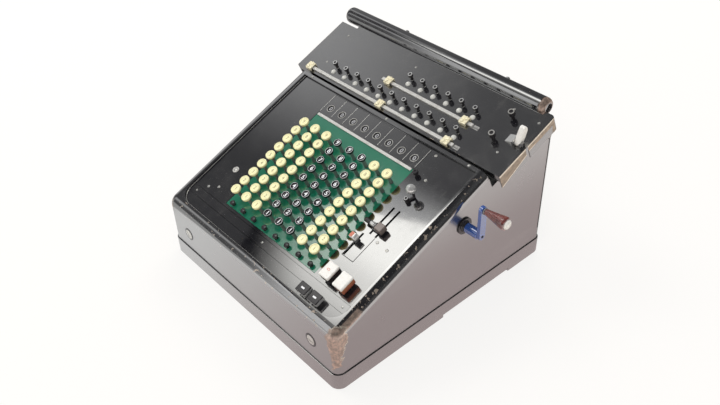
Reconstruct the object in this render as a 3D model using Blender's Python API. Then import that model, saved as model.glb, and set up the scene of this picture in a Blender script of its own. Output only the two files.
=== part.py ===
"""Full-keyboard adding machine with a shifting register carriage and a side crank.

Units are metres. +Z is up, +X is the operator's right and +Y points away from the operator. The
origin is the centre of the flat base, on the table. Everything on the sloped face is placed in the
face's own frame: x across, s up the slope from the front edge, and h out of the face.
"""

from math import atan2, cos, pi, radians, sin, tan

import bmesh
import bpy
from mathutils import Matrix, Vector

MM = 0.001

# Case. Its width, depth and rear height follow from the keyboard and the carriage, further down.
CASE_WALL = 2.5 * MM
CASE_CORNER = 9.5 * MM
DECK_DEPTH = 23 * MM
FACE_ANGLE = radians(23.1)
FACE_FRONT_HEIGHT = 71.7 * MM
RIM_WIDTH = 11 * MM
RIM_RISE = 3 * MM
PANEL_CORNER = 19 * MM
LEDGE_WIDTH = 4 * MM
LEDGE_THICKNESS = 2.7 * MM

# Clearances between touching pieces
SEAT_GAP = 0.3 * MM
RUNNING_GAP = 0.3 * MM
KEY_GAP = 0.45 * MM

# Base tray
BASE_HEIGHT = 20.5 * MM
BASE_FLOOR = 3 * MM
BASE_WALL = 3 * MM
BASE_LIP = 1.2 * MM
ARCH_HEIGHT = 5 * MM
ARCH_INSET = 2.6 * MM
ARCH_LENGTH = 105 * MM
ARCH_FROM_REAR = 55 * MM

# Keyboard, and the case width that it asks for
COLUMN_COUNT = 8
KEY_ROWS = 9
COLUMN_PITCH = 19 * MM
KEY_ROW_PITCH = 13.185 * MM
FIRST_COLUMN_X = 77.8 * MM
LEVER_SPACE = 80.2 * MM
LAST_COLUMN_X = FIRST_COLUMN_X + (COLUMN_COUNT - 1) * COLUMN_PITCH
CASE_WIDTH = LAST_COLUMN_X + LEVER_SPACE
FIRST_KEY_S = 54 * MM
LAST_KEY_S = FIRST_KEY_S + (KEY_ROWS - 1) * KEY_ROW_PITCH
KEY_HEIGHT = 16 * MM
CREAM_CAP_RADIUS = 5.7 * MM
BLACK_CAP_RADIUS = 4.6 * MM
CAP_THICKNESS = 4.2 * MM
KEY_STEM_RADIUS = 2 * MM
KEY_BAR_DEPTH = 10 * MM
KEY_BAR_SIZE = (5 * MM, 2 * MM)
KEY_BAR_OVERHANG = 5 * MM
BLACK_COLUMNS = (3, 4, 5)
CLEAR_KEY_S = 41.8 * MM
CLEAR_KEY_RADIUS = 3 * MM
CLEAR_KEY_HEIGHT = 4.5 * MM
CLEAR_KEY_TRAVEL = 2.5 * MM
CLEAR_KEY_DOME = 0.6 * MM

# Plates on the face, and the length of the face that they ask for
PANEL_THICKNESS = 2 * MM
FIELD_SIDE_MARGIN = 9.8 * MM
FIELD_LEFT = FIRST_COLUMN_X - FIELD_SIDE_MARGIN
FIELD_RIGHT = LAST_COLUMN_X + FIELD_SIDE_MARGIN
FIELD_FRONT_S = 37.5 * MM
FIELD_REAR_MARGIN = 24.52 * MM
FIELD_END_S = LAST_KEY_S + FIELD_REAR_MARGIN
CHECK_PLATE_LENGTH = 29 * MM
CHECK_END_S = FIELD_END_S + CHECK_PLATE_LENGTH
CHECK_WINDOW_S = FIELD_END_S + 11 * MM
CHECK_WINDOW_RADIUS = 4.3 * MM
PANEL_REAR_MARGIN = 1.5 * MM
PANEL_END_S = CHECK_END_S + PANEL_REAR_MARGIN
FACE_REAR_MARGIN = 4 * MM
FACE_LENGTH = PANEL_END_S + FACE_REAR_MARGIN
FIELD_DROP = 0.4 * MM
STRIP_LEFT_MARGIN = 5 * MM
STRIP_RIGHT_MARGIN = 2 * MM
STRIP_LEFT = RIM_WIDTH + STRIP_LEFT_MARGIN
STRIP_RIGHT = CASE_WIDTH - RIM_WIDTH - STRIP_RIGHT_MARGIN
STRIP_FRONT_S = 23.6 * MM
STRIP_END_S = 34.2 * MM

# Function keys and levers, placed from the last column on their left
WHITE_KEY_X = (LAST_COLUMN_X + 29.1 * MM, LAST_COLUMN_X + 49 * MM)
WHITE_KEY_S = 46.3 * MM
WHITE_KEY_SIZE = (14.5 * MM, 19 * MM)
WHITE_KEY_HEIGHT = 14 * MM
DARK_KEY_X = (LAST_COLUMN_X + 18.2 * MM, LAST_COLUMN_X + 35.7 * MM)
DARK_KEY_S = 18.3 * MM
DARK_KEY_SIZE = (14 * MM, 11.5 * MM)
DARK_KEY_HEIGHT = 9 * MM
FUNCTION_KEY_TRAVEL = 3 * MM
FUNCTION_STEM = (5 * MM, 4 * MM)
FUNCTION_STEM_DEPTH = 9 * MM
GUIDE_SLOT_X = (LAST_COLUMN_X + 25.2 * MM, LAST_COLUMN_X + 33.2 * MM)
GUIDE_SLOT_S = (102 * MM, 138.5 * MM)
SLOT_WIDTH = 2.4 * MM
LEVER_TAIL = 2 * MM
LEVER_FOOT = 2.5 * MM
SLIDER_S = 111 * MM
SLIDER_LENGTH = 9 * MM
SLIDER_HEIGHT = 10 * MM
SLIDER_BLOCK_LEFT = GUIDE_SLOT_X[1] - 3 * MM
SLIDER_HANDLE_LEFT = GUIDE_SLOT_X[0] - 13 * MM
SLIDER_HANDLE_RADIUS = 2.6 * MM
MODE_SLOT_X = LAST_COLUMN_X + 19.2 * MM
MODE_SLOT_S = (70 * MM, 99 * MM)
MODE_LEVER_S = 89 * MM
MODE_LEVER_SIZE = (9 * MM, 6.5 * MM)
MODE_LEVER_HEIGHT = 10.5 * MM
MODE_LEVER_HEAD = 4 * MM
BALL_PIVOT = (LAST_COLUMN_X + 31.5 * MM, 151.4 * MM)
BALL_PLACE = (BALL_PIVOT[0] + 3.5 * MM, BALL_PIVOT[1] + 7.5 * MM)
BALL_RADIUS = 4.8 * MM
BALL_HEIGHT = 15 * MM
BALL_ARM_SIZE = (3 * MM, 1.6 * MM)
BALL_NECK = 1.4 * MM
BALL_PIVOT_RADIUS = 2.6 * MM
BALL_PIVOT_HEIGHT = 6 * MM

# Registers on the carriage: numeral dials one column pitch apart, ending one pitch past the last column
RESULT_DIGITS = 11
COUNTER_DIGITS = 6
KNOB_BEHIND_WINDOW = 7 * MM
WINDOW_RADIUS = 2.7 * MM
KNOB_RADIUS = 2.7 * MM
KNOB_HEIGHT = 9.5 * MM
DIAL_AXLE_RADIUS = 1.5 * MM
DIAL_AIR = 0.8 * MM
DIAL_RADIUS = (COLUMN_PITCH - DIAL_AIR) / 2
DIAL_THICKNESS = 1.2 * MM
DIAL_DROP = 0.8 * MM
DIAL_AXLE_DEPTH = 7 * MM
LAST_DIAL_X = LAST_COLUMN_X + COLUMN_PITCH
FIRST_RESULT_X = LAST_DIAL_X - (RESULT_DIGITS - 1) * COLUMN_PITCH
FIRST_COUNTER_X = LAST_DIAL_X - (COUNTER_DIGITS - 1) * COLUMN_PITCH

# Carriage, laid out from its front edge to its rear edge
CARRIAGE_OVERHANG = 11.5 * MM
CARRIAGE_FRONT_GAP = 3.8 * MM
CARRIAGE_FRONT_S = FACE_LENGTH + CARRIAGE_FRONT_GAP
CARRIAGE_RISE = 1 * MM
CARRIAGE_SHEET = 1.6 * MM
WINDOW_SETBACK = 13.7 * MM
REGISTER_SPACING = 30.2 * MM
RESULT_WINDOW_S = CARRIAGE_FRONT_S + WINDOW_SETBACK
COUNTER_WINDOW_S = RESULT_WINDOW_S + REGISTER_SPACING
RUNNER_WIDTH = 4 * MM
RUNNER_FRONT_AIR = 3.4 * MM
RUNNER_REAR_AIR = 6.7 * MM
RUNNER_DEPTH = 17.6 * MM
RUNNER_S = (
    RESULT_WINDOW_S + KNOB_BEHIND_WINDOW - DIAL_RADIUS - RUNNER_FRONT_AIR - RUNNER_WIDTH / 2,
    COUNTER_WINDOW_S + KNOB_BEHIND_WINDOW + DIAL_RADIUS + RUNNER_REAR_AIR + RUNNER_WIDTH / 2,
)
CARRIAGE_REAR_MARGIN = 7.6 * MM
CARRIAGE_END_S = RUNNER_S[1] + RUNNER_WIDTH / 2 + CARRIAGE_REAR_MARGIN
FLANGE_DEPTH = 18 * MM
FLANGE_NOTCH_S = (CARRIAGE_FRONT_S + 39.7 * MM, CARRIAGE_FRONT_S + 43.7 * MM)
FLANGE_NOTCH_LEFT = 4 * MM
LIP_DEPTH = 7 * MM
RAIL_HEIGHT = 2.2 * MM
RAIL_WIDTH = 3.6 * MM
RESULT_RAIL = (FIRST_RESULT_X - 35.8 * MM, LAST_DIAL_X + 7.2 * MM, RESULT_WINDOW_S - 8.4 * MM)
COUNTER_RAIL = (FIRST_COUNTER_X - 31.8 * MM, LAST_DIAL_X + 8.2 * MM, COUNTER_WINDOW_S - 8.8 * MM)
RESULT_POINTER_AT = 124.4 * MM
COUNTER_POINTER_AT = 10.7 * MM
RESULT_POINTER_X = RESULT_RAIL[0] + RESULT_POINTER_AT
COUNTER_POINTER_X = COUNTER_RAIL[0] + COUNTER_POINTER_AT
POINTER_SIZE = (5.5 * MM, 7 * MM)
POINTER_CAP = 1.6 * MM
CLEAR_LEVER_WIDTH = 5 * MM
CLEAR_LEVER_REACH = (14.5 * MM, 15 * MM)
CLEAR_LEVER_THICKNESS = 3.2 * MM
CLEAR_LEVER_BOSS = 2.2 * MM
CLEAR_LEVER_PIN = 1.2 * MM
CLEAR_LEVER_EAR = (2.6 * MM, 7 * MM, 5.5 * MM)
CLEAR_LEVER_INSET = 8.6 * MM
CLEAR_LEVER_X = CASE_WIDTH + CARRIAGE_OVERHANG - CLEAR_LEVER_INSET
CLEAR_LEVER_S = CARRIAGE_FRONT_S + 39.7 * MM
BUTTON_X = CLEAR_LEVER_X - 26.9 * MM
BUTTON_S = (CARRIAGE_FRONT_S + 33.2 * MM, CARRIAGE_FRONT_S + 64.2 * MM)
BUTTON_RADIUS = 3.7 * MM
BUTTON_HEIGHT = 11 * MM
BUTTON_TRAVEL = 5 * MM
BUTTON_STEM_RADIUS = 2 * MM
BUTTON_STEM_DEPTH = 8 * MM
ROLL_BEHIND = 14.7 * MM
ROLL_S = CARRIAGE_END_S + ROLL_BEHIND
ROLL_RADIUS = 9.8 * MM
ROLL_RIGHT_INSET = 13 * MM
ROLL_RIGHT = CASE_WIDTH + CARRIAGE_OVERHANG - ROLL_RIGHT_INSET
WEB_LEFT = 15 * MM
WEB_GAP = 0.5 * MM
WEB_END_S = ROLL_S - ROLL_RADIUS - WEB_GAP
HORN_LENGTH = 8.9 * MM
HORN_END_S = CARRIAGE_END_S + HORN_LENGTH
HORN_CORNER = 4 * MM
ROLL_ARM_X = (FIRST_COLUMN_X + 2.2 * MM, LAST_COLUMN_X + 19.2 * MM)
ROLL_ARM_WIDTH = 8 * MM
ROLL_ARM_THICKNESS = 3 * MM

# Bed that the carriage runs on
BED_DEPTH = 20 * MM
BED_SHEET = 2 * MM
BED_REAR_MARGIN = 1 * MM
BED_END_S = RUNNER_S[1] + RUNNER_WIDTH / 2 + BED_REAR_MARGIN

# Depth and rear height of the case: the deck starts behind the carriage, level with the bay's floor
DECK_GAP = 5.5 * MM
DECK_STEP = 0.6 * MM
DECK_FRONT = CARRIAGE_END_S * cos(FACE_ANGLE) + DECK_GAP
CASE_DEPTH = DECK_FRONT + DECK_DEPTH
BAY_FLOOR_DROP = (BED_DEPTH - SEAT_GAP) / cos(FACE_ANGLE)
CASE_REAR_TOP = FACE_FRONT_HEIGHT + DECK_FRONT * tan(FACE_ANGLE) - BAY_FLOOR_DROP - DECK_STEP

# Crank and drive
CRANK_Y = 170.2 * MM
CRANK_RISE = 40.3 * MM
CRANK_Z = FACE_FRONT_HEIGHT + CRANK_RISE
CRANK_RADIUS = 32.3 * MM
CRANK_ARM_START = 20 * MM
CRANK_ARM_THICKNESS = 4 * MM
CRANK_ARM_WIDTH = 8.5 * MM
CRANK_HUB_RADIUS = 5.4 * MM
CRANK_SHAFT_RADIUS = 3.5 * MM
BUSH_RADIUS = 6.5 * MM
BUSH_FLANGE_RADIUS = 9.5 * MM
BUSH_FLANGE = 1.6 * MM
BUSH_NOSE = 3.6 * MM
GRIP_LENGTH = 30 * MM
GRIP_SMALL_RADIUS = 3.2 * MM
GRIP_LARGE_RADIUS = 6.8 * MM
GRIP_PIN_RADIUS = 1.6 * MM
GRIP_PIN_LENGTH = 20 * MM
DRUM_AHEAD = 30.2 * MM
DRUM_BELOW = 28 * MM
DRUM_Y = CRANK_Y - DRUM_AHEAD
DRUM_Z = CRANK_Z - DRUM_BELOW
DRUM_RADIUS = 14 * MM
DRUM_GAP = 8 * MM
DRUM_WIDTH = COLUMN_PITCH - DRUM_GAP
DRUM_SHAFT_RADIUS = 3.5 * MM
GEAR_TEETH = 14
GEAR_WIDTH = 6 * MM
GEAR_TOOTH = 2.4 * MM
GEAR_AIR = 0.5 * MM
GEAR_SETBACK = 2 * MM
DRUM_TEETH = 8
SHAFT_END = 1 * MM

# Inner frame
FRAME_INSET = 19 * MM
FRAME_SHEET = 3 * MM
FRAME_FRONT = 22 * MM
FRAME_REAR_GAP = 5.5 * MM
FRAME_REAR = CASE_DEPTH - CASE_WALL - FRAME_REAR_GAP
FRAME_BAR = 9 * MM
FRAME_BARS = ((45 * MM, 14 * MM), (FRAME_REAR - 82 * MM, 14 * MM), (FRAME_REAR - 27 * MM, 105 * MM))

BLACK_ENAMEL = ((0.012, 0.012, 0.014), 0.18, 0.0)
GREEN_ENAMEL = ((0.02, 0.16, 0.095), 0.4, 0.0)
CREAM = ((0.86, 0.79, 0.5), 0.35, 0.0)
IVORY = ((0.88, 0.86, 0.8), 0.35, 0.0)
BLACK_PLASTIC = ((0.02, 0.02, 0.022), 0.3, 0.0)
NICKEL = ((0.72, 0.71, 0.68), 0.28, 1.0)
BRASS = ((0.72, 0.56, 0.3), 0.35, 1.0)
STEEL = ((0.5, 0.5, 0.5), 0.4, 1.0)
BLUED_STEEL = ((0.05, 0.09, 0.3), 0.3, 0.8)
RED_WOOD = ((0.22, 0.06, 0.045), 0.25, 0.0)


def from_left(x):
    """Turns a distance from the case's left side into an x coordinate about its middle."""
    return x - CASE_WIDTH / 2


def clear_scene():
    for old in list(bpy.data.objects):
        bpy.data.objects.remove(old)


def material(name, look):
    colour, roughness, metallic = look
    made = bpy.data.materials.new(name)
    made.use_nodes = True
    shader = made.node_tree.nodes["Principled BSDF"]
    shader.inputs["Base Color"].default_value = (*colour, 1)
    shader.inputs["Roughness"].default_value = roughness
    shader.inputs["Metallic"].default_value = metallic
    made.diffuse_color = (*colour, 1)
    return made


def mesh_from(builder):
    """Makes a mesh from a function that fills a bmesh, with its faces pointing out."""
    data = bmesh.new()
    builder(data)
    bmesh.ops.remove_doubles(data, verts=data.verts, dist=0.00001)
    bmesh.ops.recalc_face_normals(data, faces=data.faces)
    made = bpy.data.meshes.new("shape")
    data.to_mesh(made)
    data.free()
    return made


def block(low, high):
    """Box between two corners."""

    def fill(data):
        size = [b - a for a, b in zip(low, high)]
        middle = [(a + b) / 2 for a, b in zip(low, high)]
        place = Matrix.Translation(middle) @ Matrix.Diagonal((*size, 1))
        bmesh.ops.create_cube(data, size=1, matrix=place)

    return mesh_from(fill)


def block_at(x, s, width, length, bottom, top):
    """Box centred on a point of the face, between two heights."""
    half_x, half_s = width / 2, length / 2
    return block((x - half_x, s - half_s, bottom), (x + half_x, s + half_s, top))


def prism(outline, start, end, axis="Z"):
    """Straight prism of a closed outline, along Z, or along X from an outline in Y and Z."""

    def fill(data):
        def point(a, b, along):
            return (a, b, along) if axis == "Z" else (along, a, b)

        lower = [data.verts.new(point(a, b, start)) for a, b in outline]
        upper = [data.verts.new(point(a, b, end)) for a, b in outline]
        data.faces.new(list(reversed(lower)))
        data.faces.new(upper)
        for i, corner in enumerate(lower):
            after = (i + 1) % len(lower)
            data.faces.new((corner, lower[after], upper[after], upper[i]))

    return mesh_from(fill)


def rounded_rectangle(left, right, front, rear, radii, steps=4):
    """Outline with a radius for each corner: front right, rear right, rear left, front left."""
    corners = ((right, front), (right, rear), (left, rear), (left, front))
    inward = ((-1, 1), (-1, -1), (1, -1), (1, 1))
    outline = []
    for number, ((x, y), (dx, dy), radius) in enumerate(zip(corners, inward, radii)):
        if radius == 0:
            outline.append((x, y))
            continue
        for step in range(steps + 1):
            angle = (number - 1) * pi / 2 + step * pi / 2 / steps
            outline.append((x + dx * radius + radius * cos(angle), y + dy * radius + radius * sin(angle)))
    return outline


def lathe(profile, sides=12, axis="Z", centre=(0, 0, 0)):
    """Turned solid from (radius, along) points, which start and end on the axis or form a closed loop."""

    def fill(data):
        rings = []
        for radius, along in profile:
            if radius == 0:
                rings.append([data.verts.new((0, 0, along))])
                continue
            angles = [2 * pi * i / sides for i in range(sides)]
            rings.append([data.verts.new((radius * cos(a), radius * sin(a), along)) for a in angles])
        pairs = list(zip(rings, rings[1:]))
        if profile[0][0] != 0:
            pairs.append((rings[-1], rings[0]))
        for lower, upper in pairs:
            for i in range(sides):
                after = (i + 1) % sides
                ring = [lower[i % len(lower)], lower[after % len(lower)]]
                ring += [upper[after % len(upper)], upper[i % len(upper)]]
                corners = list(dict.fromkeys(ring))
                if len(corners) > 2:
                    data.faces.new(corners)
        turn = Matrix.Rotation(pi / 2, 4, "Y") if axis == "X" else Matrix.Identity(4)
        bmesh.ops.transform(data, matrix=Matrix.Translation(centre) @ turn, verts=data.verts)

    return mesh_from(fill)


def gear_outline(root, tip, teeth):
    """Closed outline of a wheel with straight-sided teeth."""
    outline = []
    for tooth in range(teeth):
        for share, radius in ((-0.3, root), (-0.14, tip), (0.14, tip), (0.3, root)):
            angle = 2 * pi * (tooth + share) / teeth
            outline.append((radius * cos(angle), radius * sin(angle)))
    return outline


def combine(base, operation, tools):
    """Applies one exact Boolean after another and returns the resulting mesh."""
    for tool in tools:
        target = bpy.data.objects.new("target", base)
        cutter = bpy.data.objects.new("cutter", tool)
        for helper in (target, cutter):
            bpy.context.scene.collection.objects.link(helper)
        modifier = target.modifiers.new("combine", "BOOLEAN")
        modifier.operation = operation
        modifier.object = cutter
        modifier.solver = "EXACT"
        bpy.context.view_layer.update()
        evaluated = target.evaluated_get(bpy.context.evaluated_depsgraph_get())
        base = bpy.data.meshes.new_from_object(evaluated)
        bpy.data.objects.remove(target)
        bpy.data.objects.remove(cutter)
    return base


def union(base, *tools):
    return combine(base, "UNION", tools)


def difference(base, *tools):
    return combine(base, "DIFFERENCE", tools)


def scattered(shape, places):
    """One mesh that holds a copy of a shape at each place, none of them touching."""

    def fill(data):
        for place in places:
            before = len(data.verts)
            data.from_mesh(shape)
            data.verts.ensure_lookup_table()
            bmesh.ops.translate(data, vec=place, verts=data.verts[before:])

    return mesh_from(fill)


def add_node(name, mesh, look, place=(0, 0, 0), parent=None, smooth=True):
    """Links a finished mesh as a node with its own material."""
    mesh = mesh.copy()
    mesh.name = name
    mesh.materials.clear()
    mesh.materials.append(material(name, look))
    if smooth:
        mesh.shade_smooth()
        mesh.set_sharp_from_angle(angle=radians(35))
    node = bpy.data.objects.new(name, mesh)
    node.location = place
    node.parent = parent
    bpy.context.scene.collection.objects.link(node)
    return node


def make_face_frame():
    """Empty that carries everything laid out on the sloped face."""
    frame = bpy.data.objects.new("face_frame", None)
    frame.location = (0, -CASE_DEPTH / 2, FACE_FRONT_HEIGHT)
    frame.rotation_euler = (FACE_ANGLE, 0, 0)
    bpy.context.scene.collection.objects.link(frame)
    return frame


def tilted(mesh):
    """Moves a mesh from the face's frame to world coordinates."""
    start = Matrix.Translation((0, -CASE_DEPTH / 2, FACE_FRONT_HEIGHT))
    mesh.transform(start @ Matrix.Rotation(FACE_ANGLE, 4, "X"))
    return mesh


def front_to_y(distance):
    return distance - CASE_DEPTH / 2


def make_base():
    half_x, half_y = CASE_WIDTH / 2 + BASE_LIP, CASE_DEPTH / 2 + BASE_LIP
    outer = rounded_rectangle(-half_x, half_x, -half_y, half_y, [CASE_CORNER + BASE_LIP] * 4)
    wall = BASE_LIP + BASE_WALL
    in_x, in_y = half_x - wall, half_y - wall
    inner = rounded_rectangle(-in_x, in_x, -in_y, in_y, [CASE_CORNER - BASE_WALL] * 4)
    tray = difference(prism(outer, 0, BASE_HEIGHT - SEAT_GAP), prism(inner, BASE_FLOOR, BASE_HEIGHT + wall))
    arches = []
    for side in (-1, 1):
        edges = sorted((side * (half_x - ARCH_INSET), side * (half_x + ARCH_INSET)))
        rear = CASE_DEPTH / 2 - ARCH_FROM_REAR
        arches.append(block((edges[0], rear - ARCH_LENGTH, -ARCH_HEIGHT), (edges[1], rear, ARCH_HEIGHT)))
    add_node("base_tray", difference(tray, *arches), BLACK_ENAMEL)


def rim_outline(inset, end_s, corner):
    """Outline on the face, inset from the case's sides and front, with rounded front corners."""
    left, right = -CASE_WIDTH / 2 + inset, CASE_WIDTH / 2 - inset
    return rounded_rectangle(left, right, inset, end_s, (corner, 0, 0, corner))


def rounded_over(mesh, chosen, radius):
    """Rounds over the edges that a test of their two ends picks."""

    def fill(data):
        data.from_mesh(mesh)
        edges = [e for e in data.edges if chosen(*(v.co for v in e.verts))]
        bmesh.ops.bevel(data, geom=edges, offset=radius, segments=4, profile=0.5, affect="EDGES")

    return mesh_from(fill)


def upright(start, end):
    return (start - end).xy.length < MM


def case_body():
    """Solid outer form of the case, before it is hollowed, with its upper edges rounded over."""
    top_front = FACE_FRONT_HEIGHT + RIM_RISE / cos(FACE_ANGLE)
    top_rear = top_front + CASE_DEPTH * tan(FACE_ANGLE)
    front, rear = -CASE_DEPTH / 2, CASE_DEPTH / 2
    outline = [(front, BASE_HEIGHT), (rear, BASE_HEIGHT), (rear, top_rear), (front, top_front)]
    body = prism(outline, -CASE_WIDTH / 2, CASE_WIDTH / 2, axis="X")

    def chosen(start, end):
        lifted = min(start.z, end.z) > BASE_HEIGHT + MM
        return upright(start, end) or (lifted and min(start.y, end.y) < 0)

    return rounded_over(body, chosen, CASE_CORNER)


def make_case():
    half_x = CASE_WIDTH / 2
    shell = case_body()
    far = CASE_DEPTH
    bay_floor = -BED_DEPTH + SEAT_GAP
    bay = tilted(block((-half_x - far, FACE_LENGTH, bay_floor), (half_x + far, 2 * far, far)))
    rear_cap = block((-half_x - far, 0, CASE_REAR_TOP), (half_x + far, far, far))
    slab = RIM_RISE + PANEL_THICKNESS + SEAT_GAP + LEDGE_THICKNESS
    inside = slab - RIM_RISE
    front, rear = -CASE_DEPTH / 2 + CASE_WALL, CASE_DEPTH / 2 - CASE_WALL
    ceiling = FACE_FRONT_HEIGHT - inside / cos(FACE_ANGLE)
    hollow_outline = [
        (front, 0),
        (rear, 0),
        (rear, CASE_REAR_TOP - CASE_WALL),
        (front_to_y(DECK_FRONT), CASE_REAR_TOP - CASE_WALL),
        (front_to_y(DECK_FRONT), far),
        (front_to_y(FACE_LENGTH * cos(FACE_ANGLE)), far),
        (front_to_y(FACE_LENGTH * cos(FACE_ANGLE)), ceiling + FACE_LENGTH * sin(FACE_ANGLE)),
        (front, ceiling + CASE_WALL * tan(FACE_ANGLE)),
    ]
    hollow = prism(hollow_outline, -half_x + CASE_WALL, half_x - CASE_WALL, axis="X")

    def at_corner(start, end):
        return upright(start, end) and abs(start.y) > rear - CASE_WALL

    hollow = rounded_over(hollow, at_corner, CASE_CORNER - CASE_WALL)
    panel_outline = rim_outline(RIM_WIDTH, PANEL_END_S, PANEL_CORNER)
    recess = tilted(prism(panel_outline, -PANEL_THICKNESS - SEAT_GAP, far))
    ledge = rim_outline(RIM_WIDTH + LEDGE_WIDTH, PANEL_END_S - LEDGE_WIDTH, PANEL_CORNER - LEDGE_WIDTH)
    opening = tilted(prism(ledge, -2 * slab, slab))
    centre = (half_x, front_to_y(CRANK_Y), CRANK_Z)
    reach = 2 * CASE_WALL
    bush_radius = BUSH_RADIUS + SEAT_GAP
    bush_hole = lathe([(0, -reach), (bush_radius, -reach), (bush_radius, reach), (0, reach)], 16, "X", centre)
    add_node("case_shell", difference(shell, bay, rear_cap, hollow, recess, opening, bush_hole), BLACK_ENAMEL)


def column_x(column):
    return from_left(FIRST_COLUMN_X + column * COLUMN_PITCH)


def field_window():
    """Opening of the panel that holds the key field plate and the check window plate."""
    low = (from_left(FIELD_LEFT), FIELD_FRONT_S, -CASE_WALL * 2)
    return block(low, (from_left(FIELD_RIGHT), CHECK_END_S, CASE_WALL * 2))


def make_panel(frame):
    outline = rim_outline(RIM_WIDTH + SEAT_GAP, PANEL_END_S - SEAT_GAP, PANEL_CORNER - SEAT_GAP)
    panel = prism(outline, -PANEL_THICKNESS, 0)
    deep = 2 * PANEL_THICKNESS
    strip = block((from_left(STRIP_LEFT), STRIP_FRONT_S, -deep), (from_left(STRIP_RIGHT), STRIP_END_S, deep))
    cuts = [field_window(), strip]
    stem_width = FUNCTION_STEM[0] + 2 * KEY_GAP
    stem_length = FUNCTION_STEM[1] + 2 * KEY_GAP
    for places, s in ((WHITE_KEY_X, WHITE_KEY_S), (DARK_KEY_X, DARK_KEY_S)):
        cuts += [block_at(from_left(x), s, stem_width, stem_length, -deep, deep) for x in places]
    for x, (start, end) in [(x, GUIDE_SLOT_S) for x in GUIDE_SLOT_X] + [(MODE_SLOT_X, MODE_SLOT_S)]:
        cuts.append(block_at(from_left(x), (start + end) / 2, SLOT_WIDTH, end - start, -deep, deep))
    hole = BALL_PIVOT_RADIUS / 2 + RUNNING_GAP
    pivot_place = (from_left(BALL_PIVOT[0]), BALL_PIVOT[1], 0)
    cuts.append(lathe([(0, -deep), (hole, -deep), (hole, deep), (0, deep)], 10, centre=pivot_place))
    add_node("keyboard_panel", difference(panel, *cuts), BLACK_ENAMEL, parent=frame)

    low = (from_left(STRIP_LEFT) + SEAT_GAP, STRIP_FRONT_S + SEAT_GAP, -PANEL_THICKNESS)
    high = (from_left(STRIP_RIGHT) - SEAT_GAP, STRIP_END_S - SEAT_GAP, 0)
    add_node("front_strip", block(low, high), BLACK_ENAMEL, parent=frame)


def make_key_field(frame):
    left, right = from_left(FIELD_LEFT) + SEAT_GAP, from_left(FIELD_RIGHT) - SEAT_GAP
    plate = block((left, FIELD_FRONT_S + SEAT_GAP, -PANEL_THICKNESS), (right, FIELD_END_S, -FIELD_DROP))
    hole = KEY_STEM_RADIUS + KEY_GAP
    cutter = lathe([(0, -CASE_WALL * 2), (hole, -CASE_WALL * 2), (hole, CASE_WALL), (0, CASE_WALL)], 6)
    rows = [CLEAR_KEY_S] + [FIRST_KEY_S + row * KEY_ROW_PITCH for row in range(KEY_ROWS)]
    places = [(column_x(column), s, 0) for column in range(COLUMN_COUNT) for s in rows]
    add_node("key_field_plate", difference(plate, scattered(cutter, places)), GREEN_ENAMEL, parent=frame)

    top = block((left, FIELD_END_S + SEAT_GAP, -PANEL_THICKNESS), (right, CHECK_END_S - SEAT_GAP, 0))
    radius = CHECK_WINDOW_RADIUS
    window = lathe([(0, -CASE_WALL * 2), (radius, -CASE_WALL * 2), (radius, CASE_WALL), (0, CASE_WALL)], 12)
    windows = scattered(window, [(column_x(column), CHECK_WINDOW_S, 0) for column in range(COLUMN_COUNT)])
    add_node("check_window_plate", difference(top, windows), BLACK_ENAMEL, parent=frame)


def key_shape(cap_radius, sides):
    base = KEY_HEIGHT - CAP_THICKNESS
    profile = [
        (0, -KEY_BAR_DEPTH + KEY_BAR_SIZE[1] / 2),
        (KEY_STEM_RADIUS, -KEY_BAR_DEPTH + KEY_BAR_SIZE[1] / 2),
        (KEY_STEM_RADIUS, base),
        (cap_radius, base + CAP_THICKNESS / 2),
        (cap_radius, KEY_HEIGHT),
        (0, KEY_HEIGHT),
    ]
    return lathe(profile, sides)


def make_key_columns(frame):
    """Each column's nine number keys on their slide bar, and the column's small clearing key."""
    last_s = (KEY_ROWS - 1) * KEY_ROW_PITCH
    rows = [(0, row * KEY_ROW_PITCH, 0) for row in range(KEY_ROWS)]
    width, thickness = KEY_BAR_SIZE
    low = (-width / 2, -KEY_BAR_OVERHANG, -KEY_BAR_DEPTH)
    bar = block(low, (width / 2, last_s + KEY_BAR_OVERHANG, -KEY_BAR_DEPTH + thickness))
    cream = union(bar, scattered(key_shape(CREAM_CAP_RADIUS, 8), rows))
    black = union(bar, scattered(key_shape(BLACK_CAP_RADIUS, 8), rows))
    depth = -PANEL_THICKNESS - CLEAR_KEY_HEIGHT
    clear_profile = [
        (0, depth),
        (KEY_STEM_RADIUS, depth),
        (KEY_STEM_RADIUS, CLEAR_KEY_TRAVEL),
        (CLEAR_KEY_RADIUS, CLEAR_KEY_TRAVEL),
        (CLEAR_KEY_RADIUS, CLEAR_KEY_HEIGHT - CLEAR_KEY_DOME),
        (CLEAR_KEY_RADIUS - CLEAR_KEY_DOME, CLEAR_KEY_HEIGHT),
        (0, CLEAR_KEY_HEIGHT),
    ]
    clear_key = lathe(clear_profile, 10)
    for column in range(COLUMN_COUNT):
        dark = column in BLACK_COLUMNS
        mesh, look = (black, BLACK_PLASTIC) if dark else (cream, CREAM)
        x = column_x(column)
        add_node(f"key_column_{column + 1}", mesh, look, (x, FIRST_KEY_S, 0), frame)
        add_node(f"clear_key_{column + 1}", clear_key, BLACK_PLASTIC, (x, CLEAR_KEY_S, 0), frame)


def function_key(size, height):
    """Rectangular key with its stem, about its own centre."""
    stem = block_at(0, 0, *FUNCTION_STEM, -FUNCTION_STEM_DEPTH, height - MM)
    return union(block_at(0, 0, *size, FUNCTION_KEY_TRAVEL + MM, height), stem)


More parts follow.
